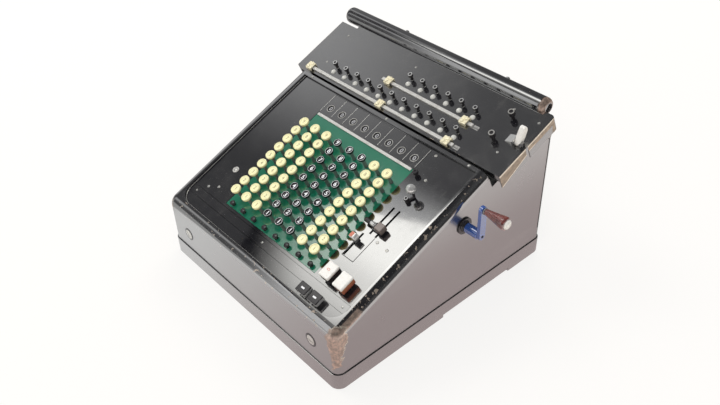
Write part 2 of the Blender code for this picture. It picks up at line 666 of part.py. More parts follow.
def make_function_keys(frame):
    white = function_key(WHITE_KEY_SIZE, WHITE_KEY_HEIGHT)
    dark = function_key(DARK_KEY_SIZE, DARK_KEY_HEIGHT)
    for name, x in zip(("white_key_left", "white_key_right"), WHITE_KEY_X):
        add_node(name, white, IVORY, (from_left(x), WHITE_KEY_S, 0), frame)
    for name, x in zip(("dark_key_left", "dark_key_right"), DARK_KEY_X):
        add_node(name, dark, BLACK_PLASTIC, (from_left(x), DARK_KEY_S, 0), frame)


def make_levers(frame):
    """Tab slider on its twin slots, mode lever, and ball lever."""
    tongue = SLOT_WIDTH - 2 * RUNNING_GAP
    below, foot = -PANEL_THICKNESS - LEVER_TAIL, LEVER_FOOT
    inner, outer = (from_left(x) for x in GUIDE_SLOT_X)
    carriage = block_at((inner + outer) / 2, 0, outer - inner + 2 * tongue, SLIDER_LENGTH, RUNNING_GAP, foot)
    tongues = [block_at(x, 0, tongue, SLIDER_LENGTH - MM, below, foot / 2) for x in (inner, outer)]
    block_left, half = from_left(SLIDER_BLOCK_LEFT), SLIDER_LENGTH / 2
    post = block((block_left, -half, foot / 2), (block_left + SLIDER_LENGTH, half, SLIDER_HEIGHT))
    handle_start = (from_left(SLIDER_HANDLE_LEFT), 0, SLIDER_HEIGHT / 2)
    reach = block_left + half - handle_start[0]
    radius = SLIDER_HANDLE_RADIUS
    handle = lathe([(0, 0), (radius, 0), (radius, reach), (0, reach)], 10, "X", handle_start)
    add_node("tab_slider", union(carriage, *tongues, post, handle), BLACK_PLASTIC, (0, SLIDER_S, 0), frame)

    width, length = MODE_LEVER_SIZE
    head_bottom = MODE_LEVER_HEIGHT - MODE_LEVER_HEAD
    stem = block_at(0, 0, tongue, length - MM, below, MODE_LEVER_HEIGHT - MM)
    head = block_at(0, 0, width, length, head_bottom, MODE_LEVER_HEIGHT)
    saddle = block_at(0, 0, 2 * SLOT_WIDTH, length, RUNNING_GAP, foot)
    add_node("mode_lever", union(stem, saddle, head), IVORY, (from_left(MODE_SLOT_X), MODE_LEVER_S, 0), frame)

    dx, ds = BALL_PLACE[0] - BALL_PIVOT[0], BALL_PLACE[1] - BALL_PIVOT[1]
    pin = BALL_PIVOT_RADIUS / 2
    pivot_profile = [(0, below), (pin, below), (pin, RUNNING_GAP), (BALL_PIVOT_RADIUS, RUNNING_GAP)]
    pivot_profile += [(BALL_PIVOT_RADIUS, BALL_PIVOT_HEIGHT), (0, BALL_PIVOT_HEIGHT)]
    pivot = lathe(pivot_profile, 12)
    length = Vector((dx, ds)).length
    arm = block_at(0, length / 2, BALL_ARM_SIZE[0], length, RUNNING_GAP, RUNNING_GAP + BALL_ARM_SIZE[1])
    arm.transform(Matrix.Rotation(-atan2(dx, ds), 4, "Z"))
    ball_profile = [(0, RUNNING_GAP), (BALL_NECK, RUNNING_GAP), (BALL_NECK, BALL_HEIGHT - BALL_RADIUS)]
    ball_profile += [
        (BALL_RADIUS * sin(angle), BALL_HEIGHT - BALL_RADIUS * cos(angle))
        for angle in [radians(turn) for turn in (35, 65, 95, 125, 155)]
    ]
    ball_profile.append((0, BALL_HEIGHT + BALL_RADIUS))
    ball = lathe(ball_profile, 12, centre=(dx, ds, 0))
    place = (from_left(BALL_PIVOT[0]), BALL_PIVOT[1], 0)
    add_node("ball_lever", union(arm, pivot, ball), NICKEL, place, frame)


def dial_places():
    """Name, x and s of each dial's axis: the result register, then the counter above its right end."""
    for digit in range(RESULT_DIGITS):
        x = from_left(FIRST_RESULT_X + digit * COLUMN_PITCH)
        yield f"result_dial_{digit + 1}", x, RESULT_WINDOW_S + KNOB_BEHIND_WINDOW
    for digit in range(COUNTER_DIGITS):
        x = from_left(FIRST_COUNTER_X + digit * COLUMN_PITCH)
        yield f"counter_dial_{digit + 1}", x, COUNTER_WINDOW_S + KNOB_BEHIND_WINDOW


def make_dials(frame):
    under = CARRIAGE_RISE - CARRIAGE_SHEET
    disc_top = under - DIAL_DROP
    disc_bottom = disc_top - DIAL_THICKNESS
    profile = [
        (0, -DIAL_AXLE_DEPTH),
        (DIAL_AXLE_RADIUS, -DIAL_AXLE_DEPTH),
        (DIAL_AXLE_RADIUS, disc_bottom),
        (DIAL_RADIUS, disc_bottom),
        (DIAL_RADIUS, disc_top),
        (DIAL_AXLE_RADIUS, disc_top),
        (DIAL_AXLE_RADIUS, CARRIAGE_RISE + RUNNING_GAP),
        (KNOB_RADIUS, CARRIAGE_RISE + RUNNING_GAP),
        (KNOB_RADIUS, CARRIAGE_RISE + KNOB_HEIGHT),
        (0, CARRIAGE_RISE + KNOB_HEIGHT),
    ]
    dial = lathe(profile, 10)
    for name, x, s in dial_places():
        add_node(name, dial, NICKEL, (x, s, 0), frame)


def drill(radius, sides=10):
    """Cutter for a hole through the carriage sheet."""
    deep = 4 * CARRIAGE_SHEET
    return lathe([(0, -deep), (radius, -deep), (radius, deep), (0, deep)], sides)


def make_carriage(frame):
    left, right = -CASE_WIDTH / 2 - CARRIAGE_OVERHANG, CASE_WIDTH / 2 + CARRIAGE_OVERHANG
    top, under = CARRIAGE_RISE, CARRIAGE_RISE - CARRIAGE_SHEET
    front, end = CARRIAGE_FRONT_S, CARRIAGE_END_S
    inner_left, inner_right = left + CARRIAGE_SHEET, right - CARRIAGE_SHEET
    overlap = CARRIAGE_SHEET / 2
    joined = under + overlap
    flange_bottom, past = top - FLANGE_DEPTH, FLANGE_DEPTH
    below, behind = flange_bottom - past, HORN_END_S + past
    outer = rounded_rectangle(left, right, front, HORN_END_S, (0, HORN_CORNER, 0, 0))
    plate = difference(
        prism(outer, flange_bottom, top),
        block((left - past, end, below), (from_left(WEB_LEFT), behind, top + past)),
        block((left - past, WEB_END_S, below), (from_left(ROLL_RIGHT) + WEB_GAP, behind, top + past)),
        block((inner_left, front + CARRIAGE_SHEET, below), (inner_right, behind, under)),
        block((inner_left, front - past, below), (inner_right, front + past, top - LIP_DEPTH)),
    )
    added = []
    half = RUNNER_WIDTH / 2
    for s in RUNNER_S:
        added.append(block((left + overlap, s - half, -RUNNER_DEPTH), (right - overlap, s + half, joined)))
    half, rail_top = RAIL_WIDTH / 2, top + RAIL_HEIGHT
    for start, stop, s in (RESULT_RAIL, COUNTER_RAIL):
        added.append(block((from_left(start), s - half, joined), (from_left(stop), s + half, rail_top)))
    arm_top = -ROLL_RADIUS - SEAT_GAP
    arm_front, arm_end = RUNNER_S[1] + RUNNER_WIDTH, ROLL_S + ROLL_RADIUS / 2
    arm_outline = [
        (arm_front, arm_top - ROLL_ARM_THICKNESS),
        (arm_end, arm_top - ROLL_ARM_THICKNESS),
        (arm_end, arm_top),
        (arm_front + ROLL_ARM_THICKNESS, arm_top),
        (arm_front + ROLL_ARM_THICKNESS, joined),
        (arm_front, joined),
    ]
    half = ROLL_ARM_WIDTH / 2
    added += [prism(arm_outline, from_left(x) - half, from_left(x) + half, axis="X") for x in ROLL_ARM_X]
    ears, pin_hole = clear_lever_ears()
    body = union(plate, *added, *ears)
    dials = list(dial_places())
    windows = [(x, s - KNOB_BEHIND_WINDOW, 0) for _, x, s in dials]
    axles = [(x, s, 0) for _, x, s in dials]
    buttons = [(from_left(BUTTON_X), s, 0) for s in BUTTON_S]
    notch_front, notch_rear = FLANGE_NOTCH_S
    low = (inner_right - CARRIAGE_SHEET, notch_front, -2 * FLANGE_DEPTH)
    notch = block(low, (right + CARRIAGE_SHEET, notch_rear, -FLANGE_NOTCH_LEFT))
    body = difference(
        body,
        scattered(drill(WINDOW_RADIUS), windows),
        scattered(drill(DIAL_AXLE_RADIUS + RUNNING_GAP, 8), axles),
        scattered(drill(BUTTON_STEM_RADIUS + RUNNING_GAP), buttons),
        notch,
        pin_hole,
    )
    add_node("carriage_plate", body, BLACK_ENAMEL, parent=frame)

    roll_right, round_end = from_left(ROLL_RIGHT), ROLL_RADIUS / 2
    profile = [
        (0, left),
        (ROLL_RADIUS, left),
        (ROLL_RADIUS, roll_right - round_end),
        (ROLL_RADIUS * 0.86, roll_right - round_end / 4),
        (ROLL_RADIUS * 0.6, roll_right),
        (0, roll_right),
    ]
    roll = lathe(profile, 20, "X", (0, ROLL_S, 0))
    add_node("carriage_roll", roll, BLACK_ENAMEL, parent=frame)

    head = RAIL_HEIGHT + RUNNING_GAP + POINTER_CAP
    width, length = POINTER_SIZE
    pointer = block_at(0, 0, width, length, CARRIAGE_RISE + RUNNING_GAP, CARRIAGE_RISE + head)
    channel_top = CARRIAGE_RISE + RAIL_HEIGHT + RUNNING_GAP
    channel = block_at(0, 0, 2 * width, RAIL_WIDTH + 2 * RUNNING_GAP, 0, channel_top)
    pointer = difference(pointer, channel)
    add_node("result_pointer", pointer, BRASS, (from_left(RESULT_POINTER_X), RESULT_RAIL[2], 0), frame)
    add_node("counter_pointer", pointer, BRASS, (from_left(COUNTER_POINTER_X), COUNTER_RAIL[2], 0), frame)

    stem, bottom = BUTTON_STEM_RADIUS, -BUTTON_STEM_DEPTH
    head_bottom = CARRIAGE_RISE + BUTTON_TRAVEL + RUNNING_GAP
    head_top = CARRIAGE_RISE + BUTTON_HEIGHT
    profile = [(0, bottom), (stem, bottom), (stem, head_bottom), (BUTTON_RADIUS, head_bottom)]
    button = lathe(profile + [(BUTTON_RADIUS, head_top), (0, head_top)], 14)
    for name, s in zip(("front_button", "rear_button"), BUTTON_S):
        add_node(name, button, BLACK_PLASTIC, (from_left(BUTTON_X), s, 0), frame)


def clear_lever_pin_height():
    return CARRIAGE_RISE + RUNNING_GAP + CLEAR_LEVER_BOSS


def clear_lever_ears():
    """Ears on the carriage that hold the clearing lever, and the cutter for their shared pin hole."""
    x = from_left(CLEAR_LEVER_X)
    centre = (x, CLEAR_LEVER_S, clear_lever_pin_height())
    thickness, length, top = CLEAR_LEVER_EAR
    offset = CLEAR_LEVER_WIDTH / 2 + RUNNING_GAP + thickness / 2
    ears = [
        block_at(x + side * offset, CLEAR_LEVER_S, thickness, length, 0, CARRIAGE_RISE + top)
        for side in (-1, 1)
    ]
    radius, reach = CLEAR_LEVER_PIN + RUNNING_GAP, 2 * offset
    hole = lathe([(0, -reach), (radius, -reach), (radius, reach), (0, reach)], 8, "X", centre)
    return ears, hole


def make_clearing_lever(frame):
    """Tab that leans back from a pin between two ears of the carriage, drawn as a side profile."""
    reach, rise = CLEAR_LEVER_REACH
    boss, tip = CLEAR_LEVER_BOSS, CLEAR_LEVER_THICKNESS
    turns = [radians(turn) for turn in (135, 170, 205, 240, 275, 315)]
    below = [(boss * cos(turn), boss * sin(turn)) for turn in turns]
    outline = below + [(reach, rise - tip), (reach, rise), (reach - tip, rise)]
    half = CLEAR_LEVER_WIDTH / 2
    lever = prism(outline, -half, half, axis="X")
    pin, pin_reach = CLEAR_LEVER_PIN, half + RUNNING_GAP + CLEAR_LEVER_EAR[0]
    pin_profile = [(0, -pin_reach), (pin, -pin_reach), (pin, pin_reach), (0, pin_reach)]
    place = (from_left(CLEAR_LEVER_X), CLEAR_LEVER_S, clear_lever_pin_height())
    add_node("clearing_lever", union(lever, lathe(pin_profile, 8, "X")), IVORY, place, frame)


def bed_outline_x():
    half = CASE_WIDTH / 2 - CASE_WALL - SEAT_GAP
    return -half, half


def make_bed(frame):
    """Sheet below the carriage with the two bars that its runners slide on."""
    left, right = bed_outline_x()
    sheet_top = -BED_DEPTH
    sheet = block((left, FACE_LENGTH + SEAT_GAP, sheet_top - BED_SHEET), (right, BED_END_S, sheet_top))
    bars = [
        block_at(0, s, right - left, RUNNER_WIDTH, sheet_top - BED_SHEET / 2, -RUNNER_DEPTH - RUNNING_GAP)
        for s in RUNNER_S
    ]
    add_node("carriage_bed", union(sheet, *bars), STEEL, parent=frame)


def frame_side_outline():
    """Side sheet of the inner frame, which follows the case's ceiling and carries the bed."""
    ceiling = (PANEL_THICKNESS + LEDGE_THICKNESS + 3 * SEAT_GAP) / cos(FACE_ANGLE)
    under_bed = (BED_DEPTH + BED_SHEET + SEAT_GAP) / cos(FACE_ANGLE)
    step = FACE_LENGTH * cos(FACE_ANGLE) - 2 * CASE_WALL
    slope = tan(FACE_ANGLE)
    bottom = BASE_FLOOR + SEAT_GAP
    bed_end = BED_END_S * cos(FACE_ANGLE)
    rear_height = FACE_FRONT_HEIGHT + bed_end * slope - under_bed
    points = [
        (FRAME_FRONT, bottom),
        (FRAME_REAR, bottom),
        (FRAME_REAR, rear_height),
        (bed_end, rear_height),
        (step, FACE_FRONT_HEIGHT + step * slope - under_bed),
        (step, FACE_FRONT_HEIGHT + step * slope - ceiling),
        (FRAME_FRONT, FACE_FRONT_HEIGHT + FRAME_FRONT * slope - ceiling),
    ]
    return [(front_to_y(y), z) for y, z in points]


def make_frame():
    """Two side sheets tied by cross bars, with the bearing holes of the crank and drum shafts."""
    half = CASE_WIDTH / 2 - FRAME_INSET
    outline = frame_side_outline()
    right_sheet = prism(outline, half - FRAME_SHEET, half, axis="X")
    left_sheet = prism(outline, -half, -half + FRAME_SHEET, axis="X")
    bars = []
    for y, z in FRAME_BARS:
        low = (-half + FRAME_SHEET / 2, front_to_y(y) - FRAME_BAR / 2, z - FRAME_BAR / 2)
        bars.append(block(low, (half - FRAME_SHEET / 2, front_to_y(y) + FRAME_BAR / 2, z + FRAME_BAR / 2)))
    joined = union(right_sheet, *bars, left_sheet)
    drum = DRUM_SHAFT_RADIUS + RUNNING_GAP
    crank = CRANK_SHAFT_RADIUS + RUNNING_GAP
    wide = 2 * half
    drum_place, crank_place = (0, front_to_y(DRUM_Y), DRUM_Z), (0, front_to_y(CRANK_Y), CRANK_Z)
    drum_hole = lathe([(0, -wide), (drum, -wide), (drum, wide), (0, wide)], 16, "X", drum_place)
    crank_hole = lathe([(0, 0), (crank, 0), (crank, wide), (0, wide)], 16, "X", crank_place)
    add_node("mechanism_frame", difference(joined, drum_hole, crank_hole), STEEL, smooth=False)


def gear_radius():
    """Outer radius of both drive gears, from the distance between their shafts."""
    return Vector((CRANK_Y - DRUM_Y, CRANK_Z - DRUM_Z)).length / 2 - GEAR_AIR / 2


def gear(start, place):
    outline = gear_outline(gear_radius() - GEAR_TOOTH, gear_radius(), GEAR_TEETH)
    wheel = prism(outline, start, start + GEAR_WIDTH, axis="X")
    wheel.transform(Matrix.Translation(place))
    return wheel


def make_drum_shaft():
    """Drums on one cross shaft, one under each key column, with the driven gear outside the frame."""
    half = CASE_WIDTH / 2 - FRAME_INSET
    place = (0, front_to_y(DRUM_Y), DRUM_Z)
    start, end = -half - GEAR_SETBACK, half + GEAR_SETBACK + GEAR_WIDTH + SHAFT_END
    radius = DRUM_SHAFT_RADIUS
    shaft = lathe([(0, start), (radius, start), (radius, end), (0, end)], 10, "X", place)
    drums = []
    for column in range(COLUMN_COUNT):
        outline = gear_outline(DRUM_RADIUS - GEAR_TOOTH, DRUM_RADIUS, DRUM_TEETH)
        start = column_x(column) - DRUM_WIDTH / 2
        drum = prism(outline, start, start + DRUM_WIDTH, axis="X")
        drum.transform(Matrix.Translation(place))
        drums.append(drum)
    add_node("drum_shaft", union(shaft, *drums, gear(half + GEAR_SETBACK, place)), STEEL)


def make_crank():
    wall = CASE_WIDTH / 2
    axis_y, axis_z = front_to_y(CRANK_Y), CRANK_Z
    centre = (0, axis_y, axis_z)
    bore = CRANK_SHAFT_RADIUS + RUNNING_GAP
    inner, outer = wall - CASE_WALL - MM, wall + SEAT_GAP
    bush_profile = [
        (bore, inner),
        (BUSH_RADIUS, inner),
        (BUSH_RADIUS, outer),
        (BUSH_FLANGE_RADIUS, outer),
        (BUSH_FLANGE_RADIUS, outer + BUSH_FLANGE),
        (BUSH_RADIUS, outer + BUSH_FLANGE),
        (BUSH_RADIUS, outer + BUSH_NOSE),
        (bore, outer + BUSH_NOSE),
    ]
    add_node("crank_bush", lathe(bush_profile, 16, "X", centre), BLACK_PLASTIC)

    frame_half = wall - FRAME_INSET
    shaft_end = wall + CRANK_ARM_START - 2 * RUNNING_GAP
    start = frame_half - FRAME_SHEET
    shaft_profile = [(0, start), (CRANK_SHAFT_RADIUS, start), (CRANK_SHAFT_RADIUS, shaft_end), (0, shaft_end)]
    shaft = lathe(shaft_profile, 16, "X", centre)
    add_node("crank_shaft", union(shaft, gear(frame_half + GEAR_SETBACK, centre)), STEEL)

    hub_start = outer + BUSH_NOSE + RUNNING_GAP
    arm_start = wall + CRANK_ARM_START
    arm_end = arm_start + CRANK_ARM_THICKNESS
    half_width = CRANK_ARM_WIDTH / 2
    low, high = axis_z - half_width, axis_z + CRANK_RADIUS + half_width
    rounding = [half_width * 0.95] * 4
    arm_outline = rounded_rectangle(axis_y - half_width, axis_y + half_width, low, high, rounding)
    arm = prism(arm_outline, arm_start, arm_end, axis="X")
    hub_radius = CRANK_HUB_RADIUS
    hub_profile = [(0, hub_start), (hub_radius, hub_start), (hub_radius, arm_end), (0, arm_end)]
    hub = lathe(hub_profile, 18, "X", centre)
    grip_centre = (0, axis_y, axis_z + CRANK_RADIUS)
    pin_start, pin_end = arm_end - MM, arm_end + GRIP_PIN_LENGTH
    pin_profile = [(0, pin_start), (GRIP_PIN_RADIUS, pin_start), (GRIP_PIN_RADIUS, pin_end), (0, pin_end)]
    pin = lathe(pin_profile, 10, "X", grip_centre)
    bore_start, bore_end = hub_start - MM, shaft_end + RUNNING_GAP
    bore_cut = lathe([(0, bore_start), (bore, bore_start), (bore, bore_end), (0, bore_end)], 18, "X", centre)
    add_node("crank_arm", difference(union(arm, hub, pin), bore_cut), BLUED_STEEL)

    first = arm_end + RUNNING_GAP
    large_at = first + GRIP_LENGTH * 0.78
    bore_radius, bore_floor = GRIP_PIN_RADIUS + RUNNING_GAP, pin_end + RUNNING_GAP
    grip_profile = [
        (0, bore_floor),
        (bore_radius, bore_floor),
        (bore_radius, first),
        (GRIP_SMALL_RADIUS, first),
        (GRIP_SMALL_RADIUS * 1.15, first + GRIP_LENGTH * 0.15),
        (GRIP_LARGE_RADIUS * 0.97, large_at - GRIP_LENGTH * 0.1),
        (GRIP_LARGE_RADIUS, large_at),
        (GRIP_LARGE_RADIUS * 0.75, first + GRIP_LENGTH * 0.9),
        (GRIP_LARGE_RADIUS * 0.5, first + GRIP_LENGTH * 0.93),
        (GRIP_LARGE_RADIUS * 0.3, first + GRIP_LENGTH),
        (0, first + GRIP_LENGTH),
    ]
    add_node("crank_grip", lathe(grip_profile, 16, "X", grip_centre), RED_WOOD)


def main():
    clear_scene()
    frame = make_face_frame()
    make_base()
    make_case()
    make_panel(frame)
    make_key_field(frame)
    make_key_columns(frame)
    make_function_keys(frame)
    make_levers(frame)
    make_dials(frame)
    make_carriage(frame)
    make_clearing_lever(frame)
    make_bed(frame)
    make_frame()
    make_drum_shaft()
    make_crank()


main()
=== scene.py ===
"""Dressed scene of a desktop adding machine: sloped full keyboard, shifting register carriage, side crank.

Shapes are written in millimetres. The sloped face has its own frame: x from the case's left side,
s up the slope from the front edge, and h out of the face. Finished meshes are in metres.
"""

import logging
from dataclasses import dataclass
from math import cos, pi, radians, sin, tan
from typing import Any, Callable, Sequence

import bmesh
import bpy
from mathutils import Matrix, Vector


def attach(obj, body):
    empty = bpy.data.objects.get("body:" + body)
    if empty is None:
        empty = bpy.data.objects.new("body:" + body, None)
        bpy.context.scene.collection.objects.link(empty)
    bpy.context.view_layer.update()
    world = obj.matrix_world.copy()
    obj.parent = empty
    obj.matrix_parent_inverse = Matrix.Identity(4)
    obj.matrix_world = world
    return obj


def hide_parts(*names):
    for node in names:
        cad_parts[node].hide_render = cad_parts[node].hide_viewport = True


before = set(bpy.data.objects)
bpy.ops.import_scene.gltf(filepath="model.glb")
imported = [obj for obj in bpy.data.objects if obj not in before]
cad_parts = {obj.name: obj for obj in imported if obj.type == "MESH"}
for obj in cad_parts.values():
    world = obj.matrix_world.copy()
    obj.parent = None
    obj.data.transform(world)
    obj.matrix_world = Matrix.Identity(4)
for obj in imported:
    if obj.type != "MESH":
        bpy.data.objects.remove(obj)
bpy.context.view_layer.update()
LOG = logging.getLogger("adding_machine")
MM = 0.001
IN_MM = Matrix.Scale(1 / MM, 4)
HERE = Matrix.Identity(4)
CREASE = radians(32)

# Places that more than one piece uses, in millimetres
BALL_PIVOT = (242.3, 151.4)
CHECK_WINDOW_S = 195
COLUMN_XS = [77.8 + 19 * column for column in range(8)]
CRANK_Y, CRANK_Z = 170.2, 112
DARK_KEYS = ((229, 18.3), (246.5, 18.3))
FLANGE_NOTCH_S = (263, 265)
MODE_LEVER_X = 230
RESULT_RAIL_S, COUNTER_RAIL_S = 227.6, 257.4
ROLL_S, ROLL_END_X, ROLL_RADIUS = 315.3, 289.5, 9.75
SLIDER_S, SLIDER_XS = 111, (236, 244)
WHITE_KEYS = ((239.9, 46.3), (259.8, 46.3))

Point = tuple[float, float]
Colour = tuple[float, float, float]


# Places


@dataclass(frozen=True)
class Face:
    """Sloped face of the case, and the case's own corner frame."""

    width: float = 291
    depth: float = 305
    front_height: float = 71.7
    angle: float = radians(23.1)

    def at(self, x: float = 0, s: float = 0, h: float = 0, turn: float = 0) -> Matrix:
        """Place on the face.

        Args:
            x: Distance from the case's left side.
            s: Distance up the slope.
            h: Height out of the face.
            turn: Turn about the face's normal, in radians.

        Returns:
            Matrix that moves a shape from its own frame to the model's, in millimetres.
        """
        tilt = Matrix.Rotation(self.angle, 4, "X")
        start = Matrix.Translation((0, -self.depth / 2, self.front_height)) @ tilt
        return start @ Matrix.Translation((x - self.width / 2, s, h)) @ Matrix.Rotation(turn, 4, "Z")

    def corner(self, x: float, y: float, z: float) -> Matrix:
        """Place given by distances from the case's left side, its front and the table."""
        return Matrix.Translation((x - self.width / 2, y - self.depth / 2, z))

    def normal(self) -> Vector:
        """Direction out of the face."""
        return Vector((0, -sin(self.angle), cos(self.angle)))


FACE = Face()


# Shader expressions


def math_operator(operation: str, swapped: bool = False) -> Callable[["Wire", "float | Wire"], "Wire"]:
    """Makes a Python operator that adds a Math node; swapped gives the reflected form."""

    def apply(first: "Wire", second: "float | Wire") -> "Wire":
        """Adds the node on the two values."""
        pair = (second, first) if swapped else (first, second)
        return first.book.node("ShaderNodeMath", {"operation": operation}, {0: pair[0], 1: pair[1]})

    return apply


class Wire:
    """Output socket of a shader tree that can be used in Python expressions."""

    __add__, __radd__ = math_operator("ADD"), math_operator("ADD", True)
    __sub__, __rsub__ = math_operator("SUBTRACT"), math_operator("SUBTRACT", True)
    __mul__, __rmul__ = math_operator("MULTIPLY"), math_operator("MULTIPLY", True)
    __pow__ = math_operator("POWER")
    least, most = math_operator("MINIMUM"), math_operator("MAXIMUM")

    def __init__(self, book: "Book", socket: bpy.types.NodeSocket) -> None:
        """Keeps the socket and the book that it belongs to."""
        self.book = book
        self.socket = socket

    def other(self, output: Any) -> "Wire":
        """Another output of the same node."""
        return Wire(self.book, self.socket.node.outputs[output])

    def ramp(self, low: float, high: float) -> "Wire":
        """Smooth step from 0 at low to 1 at high; high may be the smaller one."""
        swapped = high < low
        ends = (high, low) if swapped else (low, high)
        settings = {"interpolation_type": "SMOOTHSTEP", "clamp": True}
        values = {"Value": self, "From Min": ends[0], "From Max": ends[1]}
        step = self.book.node("ShaderNodeMapRange", settings, values)
        return 1 - step if swapped else step


class Book:
    """One material's node tree, filled through a single method."""

    def __init__(self, tree: bpy.types.NodeTree) -> None:
        """Starts from an empty tree."""
        self.tree = tree
        tree.nodes.clear()

    def node(self, kind: str, settings: dict[str, Any], values: dict[Any, Any], output: Any = 0) -> Wire:
        """Adds a node.

        Args:
            kind: Node type.
            settings: Properties that are set first.
            values: Socket name or number to a value or a Wire.
            output: Name or number of the output that is returned.

        Returns:
            The chosen output.
        """
        made = self.tree.nodes.new(kind)
        for name, value in settings.items():
            setattr(made, name, value)
        for key, value in values.items():
            if isinstance(value, Wire):
                self.tree.links.new(value.socket, made.inputs[key])
            else:
                made.inputs[key].default_value = value
        return Wire(self, made.outputs[output]) if made.outputs else Wire(self, made.inputs[0])

    def place(self) -> Wire:
        """Object coordinates in metres."""
        return self.node("ShaderNodeTexCoord", {}, {}, "Object")

    def axes(self) -> tuple[Wire, Wire, Wire]:
        """Object coordinates in millimetres, one value for each axis."""
        scaled = self.node("ShaderNodeVectorMath", {"operation": "SCALE"}, {0: self.place(), "Scale": 1 / MM})
        split = self.node("ShaderNodeSeparateXYZ", {}, {0: scaled})
        return split, split.other(1), split.other(2)

    def face_axes(self) -> tuple[Wire, Wire, Wire]:
        """Distances x from the middle, s up the slope and h out of the sloped face, in millimetres."""
        x, y, z = self.axes()
        forward, upward = y + FACE.depth / 2, z - FACE.front_height
        slope, rise = cos(FACE.angle), sin(FACE.angle)
        return x, forward * slope + upward * rise, upward * slope - forward * rise

    def noise(
        self, scale: float, detail: float = 3, rough: float = 0.55, stretch: Colour = (1, 1, 1)
    ) -> Wire:
        """Noise value; scale counts per metre, and stretch multiplies it on each axis."""
        vector = self.place()
        if stretch != (1, 1, 1):
            vector = self.node("ShaderNodeMapping", {}, {"Vector": vector, "Scale": stretch})
        values = {"Vector": vector, "Scale": scale, "Detail": detail, "Roughness": rough}
        return self.node("ShaderNodeTexNoise", {}, values, "Fac")

    def specks(self, scale: float, size: float) -> Wire:
        """Mask of small round specks."""
        values = {"Vector": self.place(), "Scale": scale, "Randomness": 1.0}
        distance = self.node("ShaderNodeTexVoronoi", {"feature": "F1"}, values, "Distance")
        return distance.ramp(size, size * 0.5)

    def blend(self, factor: "float | Wire", first: "Colour | Wire", second: "Colour | Wire") -> Wire:
        """Mixes two colours."""
        pair = {6: first, 7: second}
        ready = {key: value if isinstance(value, Wire) else (*value, 1) for key, value in pair.items()}
        return self.node("ShaderNodeMix", {"data_type": "RGBA"}, {0: factor, **ready}, 2)

    def bump(self, height: Wire, strength: float, distance: float) -> Wire:
        """Normal from a height, with the distance in millimetres."""
        values = {"Height": height, "Strength": strength, "Distance": distance * MM}
        return self.node("ShaderNodeBump", {}, values)

    def surface(self, values: dict[str, Any]) -> None:
        """Ends the tree in a Principled shader."""
        ready = {
            k: (*v, 1) if k.endswith("Color") and not isinstance(v, Wire) else v for k, v in values.items()
        }
        shader = self.node("ShaderNodeBsdfPrincipled", {}, ready)
        self.node("ShaderNodeOutputMaterial", {}, {"Surface": shader})


def new_material(name: str) -> tuple[bpy.types.Material, Book]:
    """Makes a material with an empty tree, and the book that fills it."""
    material = bpy.data.materials.new(name)
    material.use_nodes = True
    return material, Book(material.node_tree)


# Masks of the bare metal, and of paler lines along its edges: painted highlights on the carriage's flange,
# and a pale line and lighter chips on the case
Wear = tuple[Wire, "Wire | float"]


def plain_wear(book: Book) -> Wear:
    """A few small chips."""
    return book.noise(110, 4, 0.7).ramp(0.76, 0.79) * 0.5, 0.0


def recess_wear(book: Book) -> Wear:
    """Small chips of the keyboard's panel."""
    return book.noise(90, 4, 0.7).ramp(0.74, 0.77) * 0.6, 0.0


def frayed(book: Book) -> Wire:
    """Noise that makes the outlines of worn places ragged."""
    return book.noise(160, 5, 0.65)


def roll_wear(book: Book) -> Wear:
    """Worn right end of the roll, and chips along it."""
    ragged = frayed(book)
    x, s, h = book.face_axes()
    across = s - ROLL_S
    radius = (across * across + h * h) ** 0.5
    end = (x + ragged * 4).ramp(138.5, 141) * radius.ramp(5, 6.4)
    chips = book.noise(120, 4, 0.7).ramp(0.71, 0.74)
    return end.most(chips), 0.0


def case_wear(book: Book) -> Wear:
    """Worn corners and rim of the case."""
    ragged = frayed(book)
    x, y, z = book.axes()
    _, _, h = book.face_axes()
    half, front = FACE.width / 2, -FACE.depth / 2
    right, near = half - x, y - front
    # Front right corner, wider towards the top, and the rim's run behind it
    reach = z.ramp(38, 72) * 8 + 7 - (right + near) + (ragged - 0.5) * 16
    corner = reach.ramp(-0.4, 0.4) * (z + ragged * 26).ramp(39, 44)
    run = right.ramp(6, 4.6) * (near + ragged * 16).ramp(44, 38) * h.ramp(-4, -2.5)
    # Front left corner, chips along the rim, and the rear right corner
    left = ((x + half) + near).ramp(12, 6) * z.ramp(50, 62) * ragged.ramp(0.5, 0.56)
    rim = right.ramp(9, 7.5) * h.ramp(-1, 0.5) * book.noise(230, 3).ramp(0.61, 0.64)
    front_rim = near.ramp(9, 7) * (z - 66).ramp(0, 2) * book.noise(250, 3).ramp(0.64, 0.67)
    rear = near.ramp(289, 293) * (z + ragged * 10).ramp(161, 163) * right.ramp(9, 7)
    # Pale line along the border of the front right corner's wear
    edge = (reach.ramp(-1.6, -0.6) - reach.ramp(-0.4, 0.4)) * z.ramp(34, 40) * near.ramp(2, 5)
    chips = rim.most(front_rim)
    return corner.most(run).most(left).most(chips).most(edge).most(rear), edge.most(chips * 0.55)


